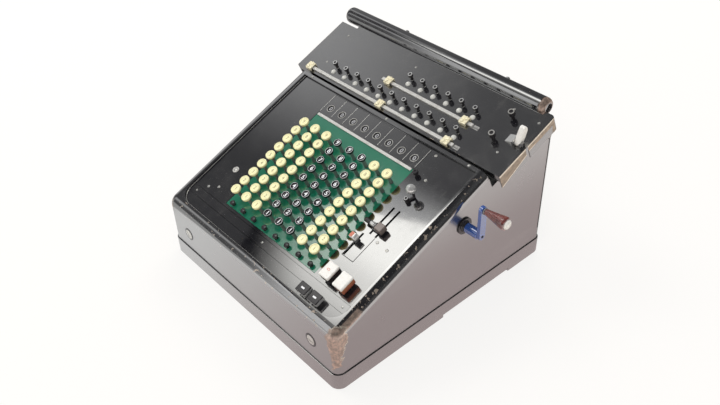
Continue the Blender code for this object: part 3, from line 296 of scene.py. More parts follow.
def carriage_wear(book: Book) -> Wear:
    """Worn right flange and front lip of the carriage, with painted highlight lines along the flange's edges.
    """
    ragged = frayed(book)
    x, s, h = book.face_axes()
    notch_front, notch_rear = FLANGE_NOTCH_S
    side = (x - FACE.width / 2 - 10.9).ramp(0, 0.4)
    # Height over the flange's lower edge, which rises towards the back
    low = h + 17 - (s - 222) * 0.2
    patch = side * s.ramp(notch_front, notch_front - 2) * low.ramp(0, 0.4)
    patch = patch * (ragged + 0.2).ramp(0.4, 0.46)
    rear = side * s.ramp(notch_rear, notch_rear + 1) * h.ramp(-7, -6.4)
    rear = rear * (ragged + 0.1).ramp(0.42, 0.48)
    corner = side * s.ramp(300, 303) * ragged.ramp(0.4, 0.48)
    lip = s.ramp(223.6, 222.9) * h.ramp(0.2, 0.8) * ragged.ramp(0.6, 0.64)
    # Painted highlights: pale lines along the upper and lower edges of both parts of the flange, drawn as
    # bare metal
    lines = (h.ramp(-1.2, -0.5) + low.ramp(1.8, 1.2)).least(1) * s.ramp(notch_front, notch_front - 1)
    behind = (h.ramp(-1, -0.4) + h.ramp(-5.2, -5.8)).least(1) * s.ramp(notch_rear, notch_rear + 1)
    lines = lines.most(behind) * low.ramp(0, 0.4)
    lines = lines * h.ramp(-7, -6.4).most(s.ramp(notch_front, notch_front - 1))
    lines = lines * side * (ragged + 0.2).ramp(0.36, 0.44)
    return patch.most(rear).most(corner).most(lip).most(lines), lines


@dataclass(frozen=True)
class Enamel:
    """Stoved gloss enamel over metal, with smears, dust, fine scratches and places worn to the metal."""

    name: str
    colour: Colour = (0.012, 0.012, 0.015)
    dust: Colour = (0.2, 0.19, 0.175)
    bare: Colour = (0.72, 0.52, 0.41)
    roughness: float = 0.09
    gloss_index: float = 3.6
    dustiness: float = 0.12
    wear: Callable[[Book], Wear] = plain_wear

    def build(self) -> bpy.types.Material:
        """Makes the material."""
        material, book = new_material(self.name)
        worn, bright = self.wear(book)
        smear = book.noise(14, 4, 0.6)
        haze = book.noise(70, 6, 0.7).ramp(0.35, 0.8)
        specks = book.specks(620, 0.2) * book.noise(40, 2).ramp(0.5, 0.62)
        scratch = book.noise(130, 2, 0.5, (1, 0.05, 0.3)).ramp(0.66, 0.7) * book.noise(25, 2).ramp(0.48, 0.62)
        dusty = (haze * smear.ramp(0.35, 0.7) * self.dustiness + specks * 0.35 + scratch * 0.16).least(1)
        painted = book.blend(dusty, self.colour, self.dust)
        darker = tuple(channel * 0.5 for channel in self.bare)
        metal = book.blend(book.noise(240, 4, 0.7).ramp(0.35, 0.65), self.bare, darker)
        # Paler metal under the second mask: painted highlights along the flange's edges, and the case's pale
        # line and lighter chips
        metal = book.blend(bright, metal, (0.85, 0.76, 0.62))
        # The rim and the top of the case are smoother than its walls
        calm = book.face_axes()[2].ramp(-7, -3) * 0.21 if self.wear is case_wear else 0.0
        peel = book.noise(420, 2, 0.5)
        step = worn * -0.6 + peel * 0.03 + scratch * -0.05
        dulled = smear * 0.06 + haze * 0.05 + dusty * 0.2 + worn * 0.3 + (self.roughness - 0.05)
        book.surface(
            {
                "Base Color": book.blend(worn, painted, metal),
                "Roughness": dulled - calm,
                "Metallic": worn * 0.6,
                "IOR": self.gloss_index,
                "Coat Weight": 1 - worn,
                "Coat Roughness": self.roughness * 0.4,
                "Coat IOR": 1.5,
                "Normal": book.bump(step, 0.5, 0.06),
            }
        )
        return material


@dataclass(frozen=True)
class Moulded:
    """Moulded or cast plastic: a second tone towards the bottom of the piece, grimy in a fine mottle,
    polished by fingers.
    """

    name: str
    colour: Colour
    aged: Colour
    roughness: float = 0.28
    aged_height: Point = (15.2, 12.4)
    grime: float = 0.12

    def build(self) -> bpy.types.Material:
        """Makes the material."""
        material, book = new_material(self.name)
        _, _, h = book.face_axes()
        mottle = book.noise(330, 4, 0.6)
        # Second tone towards the bottom of the piece, mixed with a random mottle
        lower_tone = (h.ramp(*self.aged_height) * 0.85 + mottle.ramp(0.45, 0.75) * 0.3).least(1)
        tone = book.blend(lower_tone, self.colour, self.aged)
        dirt = book.noise(900, 3, 0.7).ramp(0.55, 0.75) * self.grime
        book.surface(
            {
                "Base Color": book.blend(dirt, tone, (0.09, 0.07, 0.05)),
                "Roughness": mottle * 0.2 + (self.roughness - 0.1),
                "Coat Weight": 0.35,
                "Coat Roughness": 0.12,
                "Normal": book.bump(mottle, 0.25, 0.05),
            }
        )
        return material


@dataclass(frozen=True)
class Plated:
    """Bare or plated metal with tarnish, brushing and small pits."""

    name: str
    colour: Colour
    tarnish: Colour
    roughness: float = 0.2
    tarnished: float = 0.4
    brushing: Colour = (1, 1, 1)
    metallic: float = 0.65

    def build(self) -> bpy.types.Material:
        """Makes the material."""
        material, book = new_material(self.name)
        cloud = book.noise(85, 5, 0.65)
        grain = book.noise(700, 3, 0.6, self.brushing)
        pits = book.specks(900, 0.16) * cloud.ramp(0.45, 0.6)
        dull = (cloud.ramp(0.42, 0.72) * self.tarnished + pits * 0.6).least(1)
        book.surface(
            {
                "Base Color": book.blend(dull, self.colour, self.tarnish),
                "Metallic": pits * -0.3 + self.metallic,
                "Roughness": dull * 0.25 + grain * 0.16 + (self.roughness - 0.08),
                "Normal": book.bump(grain * 0.4 + pits * -0.6, 0.3, 0.03),
            }
        )
        return material


@dataclass(frozen=True)
class TurnedWood:
    """Polished dark red wood turned along X, with long grain, pores and a worn lacquer."""

    name: str
    pale: Colour = (0.2, 0.045, 0.035)
    dark: Colour = (0.075, 0.018, 0.02)

    def build(self) -> bpy.types.Material:
        """Makes the material."""
        material, book = new_material(self.name)
        grain = book.noise(420, 5, 0.6, (0.12, 1, 1))
        pores = book.noise(1500, 2, 0.5, (0.06, 1, 1)).ramp(0.62, 0.7)
        tone = book.blend((grain.ramp(0.35, 0.68) + pores * 0.5).least(1), self.pale, self.dark)
        book.surface(
            {
                "Base Color": tone,
                "Roughness": book.noise(60, 4, 0.6) * 0.25 + 0.14,
                "IOR": 2.3,
                "Coat Weight": 1 - pores * 0.6,
                "Coat Roughness": 0.09,
                "Normal": book.bump(grain * 0.3 + pores * -0.7, 0.3, 0.05),
            }
        )
        return material


@dataclass(frozen=True)
class Printed:
    """Flat ink or paint of numbers and discs, a little rubbed."""

    name: str
    colour: Colour
    rubbed: Colour
    roughness: float = 0.5
    cover: float = 1

    def build(self) -> bpy.types.Material:
        """Makes the material."""
        material, book = new_material(self.name)
        rub = book.noise(700, 4, 0.7)
        book.surface(
            {
                "Base Color": book.blend(rub.ramp(0.5, 0.75) * 0.6, self.colour, self.rubbed),
                "Roughness": rub * 0.2 + (self.roughness - 0.1),
                "Alpha": self.cover,
                "Normal": book.bump(rub, 0.2, 0.02),
            }
        )
        return material


class Finishes:
    """All the finishes of the machine, built once."""

    def __init__(self) -> None:
        """Builds each material."""
        self.case = Enamel("case_enamel", wear=case_wear, roughness=0.3, gloss_index=4.7).build()
        self.base = Enamel("plinth_enamel", dustiness=0.25, roughness=0.2, gloss_index=4.7).build()
        self.panel = Enamel("panel_enamel", wear=recess_wear, roughness=0.07).build()
        self.carriage = Enamel(
            "carriage_enamel", bare=(0.42, 0.31, 0.2), wear=carriage_wear, roughness=0.12, dustiness=0.2
        ).build()
        self.roll = Enamel("roll_enamel", wear=roll_wear, roughness=0.09).build()
        self.green = Enamel(
            "green_enamel", (0.008, 0.165, 0.092), (0.16, 0.3, 0.22), roughness=0.11, gloss_index=2.1
        ).build()
        self.blue = Enamel(
            "blue_grey_enamel", (0.03, 0.085, 0.32), (0.3, 0.38, 0.55), roughness=0.14, gloss_index=2.5,
            dustiness=0.45,
        ).build()
        self.cream = Moulded("cream_cap", (0.87, 0.84, 0.5), (0.8, 0.56, 0.16)).build()
        self.black = Moulded("black_cap", (0.014, 0.014, 0.016), (0.03, 0.028, 0.03), 0.2, grime=0.05).build()
        self.ivory = Moulded(
            "ivory_plastic", (0.8, 0.78, 0.74), (0.66, 0.58, 0.46), 0.3, (-30, -60), 0.3
        ).build()
        self.tab = Moulded("tab_plastic", (0.2, 0.165, 0.15), (0.1, 0.08, 0.07), 0.35, (6, 2)).build()
        self.amber = Moulded("amber_body", (0.42, 0.17, 0.09), (0.3, 0.08, 0.05), 0.25, (12, 4)).build()
        self.nickel = Plated("nickel_plate", (0.66, 0.65, 0.62), (0.36, 0.33, 0.28), 0.18).build()
        self.rail = Plated(
            "rail_nickel", (0.62, 0.61, 0.58), (0.4, 0.38, 0.34), 0.3, 0.5, (0.05, 1, 1), 0.3
        ).build()
        self.chrome = Plated("bright_chrome", (0.78, 0.78, 0.77), (0.5, 0.48, 0.45), 0.1, 0.2).build()
        self.brass = Plated(
            "worn_brass", (0.93, 0.86, 0.62), (0.55, 0.42, 0.2), 0.25, 0.4, metallic=0.25
        ).build()
        self.steel = Plated("oiled_steel", (0.36, 0.36, 0.36), (0.14, 0.12, 0.1), 0.35, 0.6).build()
        self.wood = TurnedWood("grip_wood").build()
        self.white_ink = Printed("white_ink", (0.85, 0.85, 0.86), (0.45, 0.45, 0.46)).build()
        self.grey_ink = Printed("grey_ink", (0.42, 0.42, 0.43), (0.2, 0.2, 0.2)).build()
        self.dark_ink = Printed("dark_ink", (0.03, 0.03, 0.035), (0.2, 0.18, 0.15)).build()
        self.faint_ink = Printed("faint_ink", (0.36, 0.3, 0.16), (0.7, 0.62, 0.4)).build()
        self.red_ink = Printed("red_ink", (0.62, 0.2, 0.13), (0.8, 0.55, 0.45)).build()
        self.lens = Printed("window_lens", (0.8, 0.79, 0.74), (0.62, 0.61, 0.56), 0.2, 0.8).build()
        self.dial = Printed("dial_face", (0.78, 0.78, 0.74), (0.55, 0.53, 0.47), 0.35).build()
        # Near-black for gaps, a seam and a bore: painted shade
        self.hollow = Printed("painted_hollow_shade", (0.01, 0.01, 0.011), (0.02, 0.02, 0.02), 0.6).build()


# Shapes


def rounded_outline(low: Point, high: Point, radii: Sequence[float], steps: int = 6) -> list[Point]:
    """Rectangle with a radius at each corner: front right, rear right, rear left, front left."""
    corners = ((high[0], low[1]), (high[0], high[1]), (low[0], high[1]), (low[0], low[1]))
    inward = ((-1, 1), (-1, -1), (1, -1), (1, 1))
    outline: list[Point] = []
    for number, ((x, y), (dx, dy), radius) in enumerate(zip(corners, inward, radii)):
        if radius == 0:
            outline.append((x, y))
            continue
        for step in range(steps + 1):
            angle = (number - 1) * pi / 2 + step * pi / 2 / steps
            outline.append((x + dx * radius + radius * cos(angle), y + dy * radius + radius * sin(angle)))
    return outline


class Shape:
    """Collects closed forms, in millimetres, in one mesh; each form has the number of its finish."""

    def __init__(self) -> None:
        """Starts empty."""
        self.data = bmesh.new()

    def _take(self, part: bmesh.types.BMesh, place: Matrix, finish: int, new: bool = True) -> "Shape":
        """Moves a form into the collection; a new form's faces are turned outwards first."""
        if new:
            bmesh.ops.recalc_face_normals(part, faces=part.faces)
        bmesh.ops.transform(part, matrix=place, verts=part.verts)
        for face in part.faces:
            face.material_index = finish
        mesh = bpy.data.meshes.new("form")
        part.to_mesh(mesh)
        part.free()
        self.data.from_mesh(mesh)
        bpy.data.meshes.remove(mesh)
        return self

    def turned(
        self, profile: Sequence[Point], place: Matrix, sides: int = 32, finish: int = 0, lying: bool = False
    ) -> "Shape":
        """Adds a turned form.

        Args:
            profile: Radius and distance along the axis, from end to end. One that leaves the axis is closed.
            place: Where its own frame goes.
            sides: Steps round the axis.
            finish: Number of its finish.
            lying: Whether its axis is X in place of Z.

        Returns:
            The shape itself.
        """
        part = bmesh.new()
        rings = []
        for radius, along in profile:
            if radius == 0:
                rings.append([part.verts.new((0, 0, along))])
                continue
            angles = [2 * pi * i / sides for i in range(sides)]
            rings.append([part.verts.new((radius * cos(a), radius * sin(a), along)) for a in angles])
        pairs = list(zip(rings, rings[1:]))
        if profile[0][0] != 0:
            pairs.append((rings[-1], rings[0]))
        for lower, upper in pairs:
            for i in range(sides):
                after = (i + 1) % sides
                turns = ((lower, i), (lower, after), (upper, after), (upper, i))
                corners = list(dict.fromkeys(ring[turn % len(ring)] for ring, turn in turns))
                if len(corners) > 2:
                    part.faces.new(corners)
        turn = Matrix.Rotation(pi / 2, 4, "Y") if lying else HERE
        return self._take(part, place @ turn, finish)

    def slab(
        self,
        outline: Sequence[Point],
        low: float,
        high: float,
        place: Matrix,
        rounding: float = 0,
        steps: int = 3,
        finish: int = 0,
        across: bool = False,
    ) -> "Shape":
        """Adds a straight prism, with its sharp edges rounded.

        Args:
            outline: Closed outline.
            low: Start along its axis.
            high: End along its axis.
            place: Where its own frame goes.
            rounding: Radius of its sharp edges.
            steps: Segments of that radius.
            finish: Number of its finish.
            across: Whether the outline is in Y and Z and the axis is X.

        Returns:
            The shape itself.
        """
        part = bmesh.new()

        def point(a: float, b: float, along: float) -> tuple[float, float, float]:
            """Corner of the prism."""
            return (along, a, b) if across else (a, b, along)

        lower = [part.verts.new(point(a, b, low)) for a, b in outline]
        upper = [part.verts.new(point(a, b, high)) for a, b in outline]
        part.faces.new(list(reversed(lower)))
        part.faces.new(upper)
        for i, corner in enumerate(lower):
            after = (i + 1) % len(lower)
            part.faces.new((corner, lower[after], upper[after], upper[i]))
        if rounding:
            bmesh.ops.recalc_face_normals(part, faces=part.faces)
            sharp = [edge for edge in part.edges if edge.calc_face_angle(0) > radians(30)]
            shaped = {"segments": steps, "profile": 0.5, "affect": "EDGES", "clamp_overlap": True}
            bmesh.ops.bevel(part, geom=sharp, offset=rounding, **shaped)
        return self._take(part, place, finish)

    def block(
        self,
        low: Sequence[float],
        high: Sequence[float],
        place: Matrix,
        rounding: float = 0,
        steps: int = 3,
        finish: int = 0,
    ) -> "Shape":
        """Adds a box between two corners, with rounded edges."""
        outline = [(low[0], low[1]), (high[0], low[1]), (high[0], high[1]), (low[0], high[1])]
        return self.slab(outline, low[2], high[2], place, rounding, steps, finish)

    def pipe(
        self, path: Sequence[Sequence[float]], radius: float, place: Matrix, sides: int = 12, finish: int = 0
    ) -> "Shape":
        """Adds a round bar along a path, with closed ends."""
        part = bmesh.new()
        points = [Vector(p) for p in path]
        rings = []
        for i, point in enumerate(points):
            along = (points[min(i + 1, len(points) - 1)] - points[max(i - 1, 0)]).normalized()
            first = (side - along * side.dot(along) if rings else along.orthogonal()).normalized()
            side, other = first, along.cross(first)
            angles = [2 * pi * k / sides for k in range(sides)]
            rings.append([part.verts.new(point + radius * (cos(a) * side + sin(a) * other)) for a in angles])
        for lower, upper in zip(rings, rings[1:]):
            for i in range(sides):
                after = (i + 1) % sides
                part.faces.new((lower[i], lower[after], upper[after], upper[i]))
        part.faces.new(list(reversed(rings[0])))
        part.faces.new(rings[-1])
        return self._take(part, place, finish)

    def mesh(self, mesh: bpy.types.Mesh, place: Matrix, finish: int = 0) -> "Shape":
        """Adds a copy of a mesh."""
        part = bmesh.new()
        part.from_mesh(mesh)
        return self._take(part, place, finish, new=False)

    def to_mesh(self, name: str = "shape") -> bpy.types.Mesh:
        """Finished mesh, in metres."""
        bmesh.ops.transform(self.data, matrix=Matrix.Scale(MM, 4), verts=self.data.verts)
        made = bpy.data.meshes.new(name)
        self.data.to_mesh(made)
        self.data.free()
        return made


def plain_mesh(host: bpy.types.Object) -> bpy.types.Mesh:
    """Mesh of an object with its modifiers applied."""
    bpy.context.view_layer.update()
    evaluated = host.evaluated_get(bpy.context.evaluated_depsgraph_get())
    return bpy.data.meshes.new_from_object(evaluated)


def on_stage(name: str, mesh: bpy.types.Mesh | bpy.types.Curve) -> bpy.types.Object:
    """Links a new object at the origin."""
    made = bpy.data.objects.new(name, mesh)
    bpy.context.scene.collection.objects.link(made)
    return made


def carved(mesh: bpy.types.Mesh, cutters: Sequence[bpy.types.Mesh]) -> bpy.types.Mesh:
    """Mesh with other meshes cut away."""
    for cutter in cutters:
        target, tool = on_stage("target", mesh), on_stage("tool", cutter)
        modifier = target.modifiers.new("cut", "BOOLEAN")
        modifier.operation, modifier.solver, modifier.object = "DIFFERENCE", "EXACT", tool
        mesh = plain_mesh(target)
        bpy.data.objects.remove(target)
        bpy.data.objects.remove(tool)
    return mesh


def rounded_over(
    mesh: bpy.types.Mesh, chosen: Callable[[Vector, Vector], bool], radius: float, steps: int
) -> bpy.types.Mesh:
    """Rounds over the edges of a mesh that a test of their two ends picks; the radius is in millimetres."""
    data = bmesh.new()
    data.from_mesh(mesh)
    edges = [edge for edge in data.edges if chosen(*(vertex.co for vertex in edge.verts))]
    bmesh.ops.bevel(data, geom=edges, offset=radius * MM, segments=steps, profile=0.5, affect="EDGES")
    data.to_mesh(mesh)
    data.free()
    return mesh


def upright(start: Vector, end: Vector) -> bool:
    """Whether an edge runs straight up."""
    return (start - end).xy.length < MM


def add_piece(
    name: str,
    mesh: bpy.types.Mesh,
    finishes: Sequence[bpy.types.Material],
    body: str,
    stands_for: Sequence[str] = (),
) -> None:
    """Turns a mesh into a finished piece that rides on a body.

    Args:
        name: Piece's name.
        mesh: Its mesh, in metres.
        finishes: Materials in the order of the forms' numbers.
        body: Body that it moves with.
        stands_for: Nodes that it replaces.
    """
    for polygon in mesh.polygons:
        polygon.use_smooth = True
    mesh.set_sharp_from_angle(angle=CREASE)
    host = on_stage(name + "_host", mesh)
    weighted = host.modifiers.new("even_normals", "WEIGHTED_NORMAL")
    weighted.keep_sharp, weighted.weight = True, 80
    finished = plain_mesh(host)
    bpy.data.objects.remove(host)
    finished.name = name
    numbers = [0] * len(finished.polygons)
    finished.polygons.foreach_get("material_index", numbers)
    finished.materials.clear()
    for finish in finishes:
        finished.materials.append(finish)
    finished.polygons.foreach_set("material_index", numbers)
    piece = on_stage(name, finished)
    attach(piece, body)
    if stands_for:
        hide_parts(*stands_for)
    LOG.info("%s: %d faces on %s", name, len(finished.polygons), body)


class Copies:
    """Geometry Nodes tree that puts a copy of one shape on each point of a host mesh."""

    def __init__(self) -> None:
        """Builds the tree with its named inputs."""
        tree = bpy.data.node_groups.new("copies_on_points", "GeometryNodeTree")
        kinds = {
            "Places": "NodeSocketGeometry",
            "Shape": "NodeSocketObject",
            "Axis": "NodeSocketVector",
            "Largest turn": "NodeSocketFloat",
            "Seed": "NodeSocketInt",
            "Finish": "NodeSocketMaterial",
        }
        for name, kind in kinds.items():
            tree.interface.new_socket(name, in_out="INPUT", socket_type=kind)
        tree.interface.new_socket("Copies", in_out="OUTPUT", socket_type="NodeSocketGeometry")
        nodes, link = tree.nodes, tree.links.new
        given, result = nodes.new("NodeGroupInput"), nodes.new("NodeGroupOutput")
        shape, chance = nodes.new("GeometryNodeObjectInfo"), nodes.new("FunctionNodeRandomValue")
        turn, copies = nodes.new("FunctionNodeAxisAngleToRotation"), nodes.new("GeometryNodeInstanceOnPoints")
        real, dress = nodes.new("GeometryNodeRealizeInstances"), nodes.new("GeometryNodeSetMaterial")
        chance.data_type = "FLOAT"
        low, high = [socket for socket in chance.inputs if socket.type == "VALUE"][:2]
        low.default_value = 0
        link(given.outputs["Largest turn"], high)
        link(given.outputs["Seed"], chance.inputs["Seed"])
        value = next(socket for socket in chance.outputs if socket.type == "VALUE")
        link(value, turn.inputs["Angle"])
        link(given.outputs["Axis"], turn.inputs["Axis"])
        link(given.outputs["Shape"], shape.inputs["Object"])
        link(given.outputs["Places"], copies.inputs["Points"])
        link(shape.outputs["Geometry"], copies.inputs["Instance"])
        link(turn.outputs["Rotation"], copies.inputs["Rotation"])
        link(copies.outputs["Instances"], real.inputs["Geometry"])
        link(real.outputs["Geometry"], dress.inputs["Geometry"])
        link(given.outputs["Finish"], dress.inputs["Material"])
        link(dress.outputs["Geometry"], result.inputs["Copies"])
        self.tree = tree

    def mesh(
        self,
        shape: bpy.types.Mesh,
        places: Sequence[Vector],
        finish: bpy.types.Material,
        turn: float = 0,
        seed: int = 1,
    ) -> bpy.types.Mesh:
        """Mesh of all the copies, each tilted with the face.

        Args:
            shape: Mesh in metres, about its own origin.
            places: Points in millimetres.
            finish: Material of the copies.
            turn: Largest random turn about the face's normal, in radians.
            seed: Seed of the turns.

        Returns:
            One plain mesh.
        """
        tilted = shape.copy()
        tilted.transform(Matrix.Rotation(FACE.angle, 4, "X"))
        points = bpy.data.meshes.new("points")
        points.from_pydata([place * MM for place in places], [], [])
        model, host = on_stage("copied", tilted), on_stage("host", points)
        modifier = host.modifiers.new("copies", "NODES")
        modifier.node_group = self.tree
        axis = tuple(FACE.normal())
        given = {"Shape": model, "Axis": axis, "Largest turn": turn, "Seed": seed, "Finish": finish}
        items = self.tree.interface.items_tree
        sockets = {item.name: item.identifier for item in items if item.in_out == "INPUT"}
        for name, value in given.items():
            modifier[sockets[name]] = value
        made = plain_mesh(host)
        for used in (host, model):
            bpy.data.objects.remove(used)
        return made


class Glyphs:
    """Thin raised numbers, each made once from the built-in font."""

    def __init__(self, thickness: float = 0.06) -> None:
        """Keeps the thickness, in millimetres."""
        self.thickness = thickness
        self.made: dict[tuple[str, float, float], bpy.types.Mesh] = {}

    def mesh(self, text: str, height: float, bold: float = 0) -> bpy.types.Mesh:
        """Mesh of a text, in millimetres, centred on the origin and lying in X and Y."""
        key = (text, height, bold)
        if key not in self.made:
            curve = bpy.data.curves.new("glyph", "FONT")
            curve.body, curve.size, curve.extrude = text, height / 0.7, self.thickness
            curve.align_x, curve.align_y, curve.resolution_u, curve.offset = "CENTER", "CENTER", 3, bold
            host = on_stage("glyph", curve)
            self.made[key] = plain_mesh(host)
            bpy.data.objects.remove(host)
        return self.made[key]


@dataclass
class Kit:
    """What every sub-assembly builds with."""

    finishes: Finishes
    copies: Copies
    glyphs: Glyphs

    def repeat(
        self,
        name: str,
        shape: bpy.types.Mesh,
        places: Sequence[Vector],
        finish: bpy.types.Material,
        body: str,
        slot: str,
        stands_for: Sequence[str] = (),
    ) -> None:
        """Adds one piece made of a shape's copies; the other arguments are those of Copies.mesh and
        add_piece, and slot is not used.
        """
        add_piece(name, self.copies.mesh(shape, places, finish), [finish], body, stands_for)

    def screws(
        self, name: str, places: Sequence[tuple[float, float, float]], radius: float, body: str, seed: int = 3
    ) -> None:
        """Adds slotted screws on the face.

        Args:
            name: Piece's name.
            places: x, s and h of each screw's seat.
            radius: Radius of the heads.
            body: Body that they ride on.
            seed: Seed of the slots' turns.
        """
        rise = radius * 0.32
        head = [
            (0, -0.3), (radius, -0.3), (radius, rise * 0.35), (radius * 0.8, rise * 0.85),
            (radius * 0.35, rise), (0, rise)
        ]
        solid = Shape().turned(head, HERE, 20).to_mesh()
        half = radius * 0.13
        slot = Shape().block((-2 * radius, -half, rise * 0.45), (2 * radius, half, 2 * rise), HERE)
        shape = carved(solid, [slot.to_mesh()])
        points = [FACE.at(*place).translation for place in places]
        mesh = self.copies.mesh(shape, points, self.finishes.nickel, 2 * pi, seed)
        add_piece(name, mesh, [self.finishes.nickel], body)


def dress(node: str, finish: bpy.types.Material) -> None:
    """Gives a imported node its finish."""
    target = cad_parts[node]
    for slot in target.material_slots:
        slot.link = "OBJECT"
        slot.material = finish
    LOG.info("%s dressed in %s", node, finish.name)


# Sub-assemblies


@dataclass
class CaseWork:
    """Plinth, case, panel and the fixed trim on them."""

    kit: Kit
    wall: float = 2.5
    rim_width: float = 11
    rim_rise: float = 3
    corner: float = 9.5
    face_length: float = 218.5
    rear_top: float = 169.97
    deck_depth: float = 23
    plinth_height: float = 20.2
    plinth_lip: float = 1.2
    recess_end: float = 214.5
    recess_corner: float = 19
    ledge: float = 4
    panel_gap: float = 0.3
    carriage_bay: float = 19.7

    def build(self) -> None:
        """Builds every piece of the case."""
        finishes = self.kit.finishes
        self.case_skin()
        self.plinth()
        self.panel()
        dress("front_strip", finishes.panel)
        dress("key_field_plate", finishes.green)
        dress("check_window_plate", finishes.panel)
        dress("mechanism_frame", finishes.steel)
        dress("carriage_bed", finishes.steel)
        self.key_field_trim()
        self.check_windows()
        self.small_parts()
        self.wall_screws()

    def recess_outline(self, inset: float, steps: int, left: float = 0) -> list[Point]:
        """Outline of the keyboard's recess made smaller by an inset; left is the place of the case's side."""
        edge, radius = self.rim_width + inset, self.recess_corner - inset
        high = (left + FACE.width - edge, self.recess_end - inset)
        return rounded_outline((left + edge, edge), high, (radius, 0, 0, radius), steps)

    def hollow_outline(self) -> list[Point]:
        """Outline of the case's hollow, seen from the side."""
        face, front, rear, far = FACE, -FACE.depth / 2, FACE.depth / 2, FACE.depth
        start = front + self.face_length * cos(face.angle)
        ceiling = face.front_height - 5 / cos(face.angle)
        return [
            (front + self.wall, 0),
            (rear - self.wall, 0),
            (rear - self.wall, self.rear_top - self.wall),
            (rear - self.deck_depth, self.rear_top - self.wall),
            (rear - self.deck_depth, far),
            (start, far),
            (start, ceiling + self.face_length * sin(face.angle)),
            (front + self.wall, ceiling + self.wall * tan(face.angle)),
        ]

    def case_skin(self) -> None:
        """Case with its rounded rim, hollowed as the solid is."""
        face = FACE
        half, front, rear = face.width / 2, -face.depth / 2, face.depth / 2
        top_front = face.front_height + self.rim_rise / cos(face.angle)
        bottom = self.plinth_height + 0.3
        top_rear = top_front + face.depth * tan(face.angle)
        outline = [(front, bottom), (rear, bottom), (rear, top_rear), (front, top_front)]

        def outer(start: Vector, end: Vector) -> bool:
            """Whether an edge is an upright corner or lies on the rim."""
            lifted = min(start.z, end.z) > (bottom + 1) * MM
            return upright(start, end) or (lifted and min(start.y, end.y) < 0)

        def inner_corner(start: Vector, end: Vector) -> bool:
            """Whether an edge is one of the hollow's four corners."""
            return upright(start, end) and abs(start.y) > (rear - 2 * self.wall) * MM

        solid = Shape().slab(outline, -half, half, HERE, across=True).to_mesh()
        solid = rounded_over(solid, outer, self.corner, 10)

        tilt, far = face.at(face.width / 2), face.depth
        inner = half - self.wall
        bush = face.corner(face.width, CRANK_Y, CRANK_Z)
        bore = [(0, -5), (6.8, -5), (6.8, 5), (0, 5)]
        bay = (-half - far, self.face_length, -self.carriage_bay)
        cutters = [
            Shape().block(bay, (half + far, 2 * far, far), tilt),
            Shape().block((-half - far, 0, self.rear_top), (half + far, far, far), HERE),
            Shape().slab(self.recess_outline(0, 14, -half), -2.3, far, tilt),
            Shape().slab(self.recess_outline(self.ledge, 8, -half), -16, 16, tilt),
            Shape().turned(bore, bush, 40, lying=True),
        ]
        room = Shape().slab(self.hollow_outline(), -inner, inner, HERE, across=True).to_mesh()
        room = rounded_over(room, inner_corner, self.corner - self.wall, 8)
        mesh = carved(solid, [room] + [cutter.to_mesh() for cutter in cutters])
        add_piece("case_skin", mesh, [self.kit.finishes.case], "machine", ["case_shell"])

    def plinth(self) -> None:
        """Base tray with a softly rounded top edge and a shallow arch on each side."""
        half_x, half_y = FACE.width / 2 + self.plinth_lip, FACE.depth / 2 + self.plinth_lip
        lip, radius = self.plinth_lip + 3, self.corner + self.plinth_lip
        outer = rounded_outline((-half_x, -half_y), (half_x, half_y), [radius] * 4, 10)
        inner = rounded_outline((-half_x + lip, -half_y + lip), (half_x - lip, half_y - lip), [6.5] * 4, 6)
        solid = Shape().slab(outer, 0, self.plinth_height, HERE, 0.7, 2).to_mesh()
        cutters = [Shape().slab(inner, 3, 40, HERE)]
        for side in (-1, 1):
            edges = sorted((side * (half_x - 2.6), side * (half_x + 9)))
            low = (edges[0], 145 - FACE.depth / 2, -9)
            cutters.append(Shape().block(low, (edges[1], 250 - FACE.depth / 2, 5), HERE))
        mesh = carved(solid, [cutter.to_mesh() for cutter in cutters])
        add_piece("plinth", mesh, [self.kit.finishes.base], "machine", ["base_tray"])

    def panel(self) -> None:
        """Keyboard panel with its openings, and a thin nickel bar along its edge that paints the edge's
        highlight.
        """
        face, kit = FACE, self.kit
        tilt, outer = face.at(0), self.recess_outline(self.panel_gap, 14)
        solid = Shape().slab(outer, -2, 0, tilt, 0.25, 1).to_mesh()
        cuts = [((68, 37.5), (220.6, 213)), ((16, 23.6), (278, 34.2))]
        slots = [(x, 102, 138.5) for x in SLIDER_XS] + [(MODE_LEVER_X, 70, 99)]
        cuts += [((x - 1.2, start), (x + 1.2, end)) for x, start, end in slots]
        cuts += [((x - 2.95, s - 2.45), (x + 2.95, s + 2.45)) for x, s in WHITE_KEYS + DARK_KEYS]
        cutters = [Shape().block((*low, -6), (*high, 6), tilt) for low, high in cuts]
        cutters.append(Shape().turned([(0, -6), (1.6, -6), (1.6, 6), (0, 6)], face.at(*BALL_PIVOT), 16))
        mesh = carved(solid, [cutter.to_mesh() for cutter in cutters])
        add_piece("panel_sheet", mesh, [kit.finishes.panel], "machine", ["keyboard_panel"])

        # Thin nickel bar along the panel's edge: a painted highlight line
        path = [(x, s, 0.1) for x, s in outer]
        start = path.index(min(path, key=lambda p: (p[0], -p[1])))
        path = path[start:] + path[:start]
        border = Shape().pipe(path, 0.33, tilt, 8).to_mesh()
        add_piece("panel_border", border, [kit.finishes.nickel], "machine")

    def key_field_trim(self) -> None:
        """Bright strip behind the key field with its end knob."""
        finishes = self.kit.finishes
        strip = Shape().block((69.5, 180.6, -0.3), (218.4, 184, 0.7), FACE.at(0), 0.3, 2).to_mesh()
        add_piece("bright_strip", strip, [finishes.rail], "machine")
        knob = [
            (0, -0.2), (1.7, -0.2), (1.7, 3), (2.9, 3.3), (3.1, 4), (3.1, 6.6), (2.6, 7.2), (1.4, 7.2),
            (1.2, 6.4), (0, 6.4)
        ]
        shape = Shape().turned(knob, FACE.at(228.1, 180.4), 28)
        add_piece("strip_knob", shape.to_mesh(), [finishes.black], "machine")

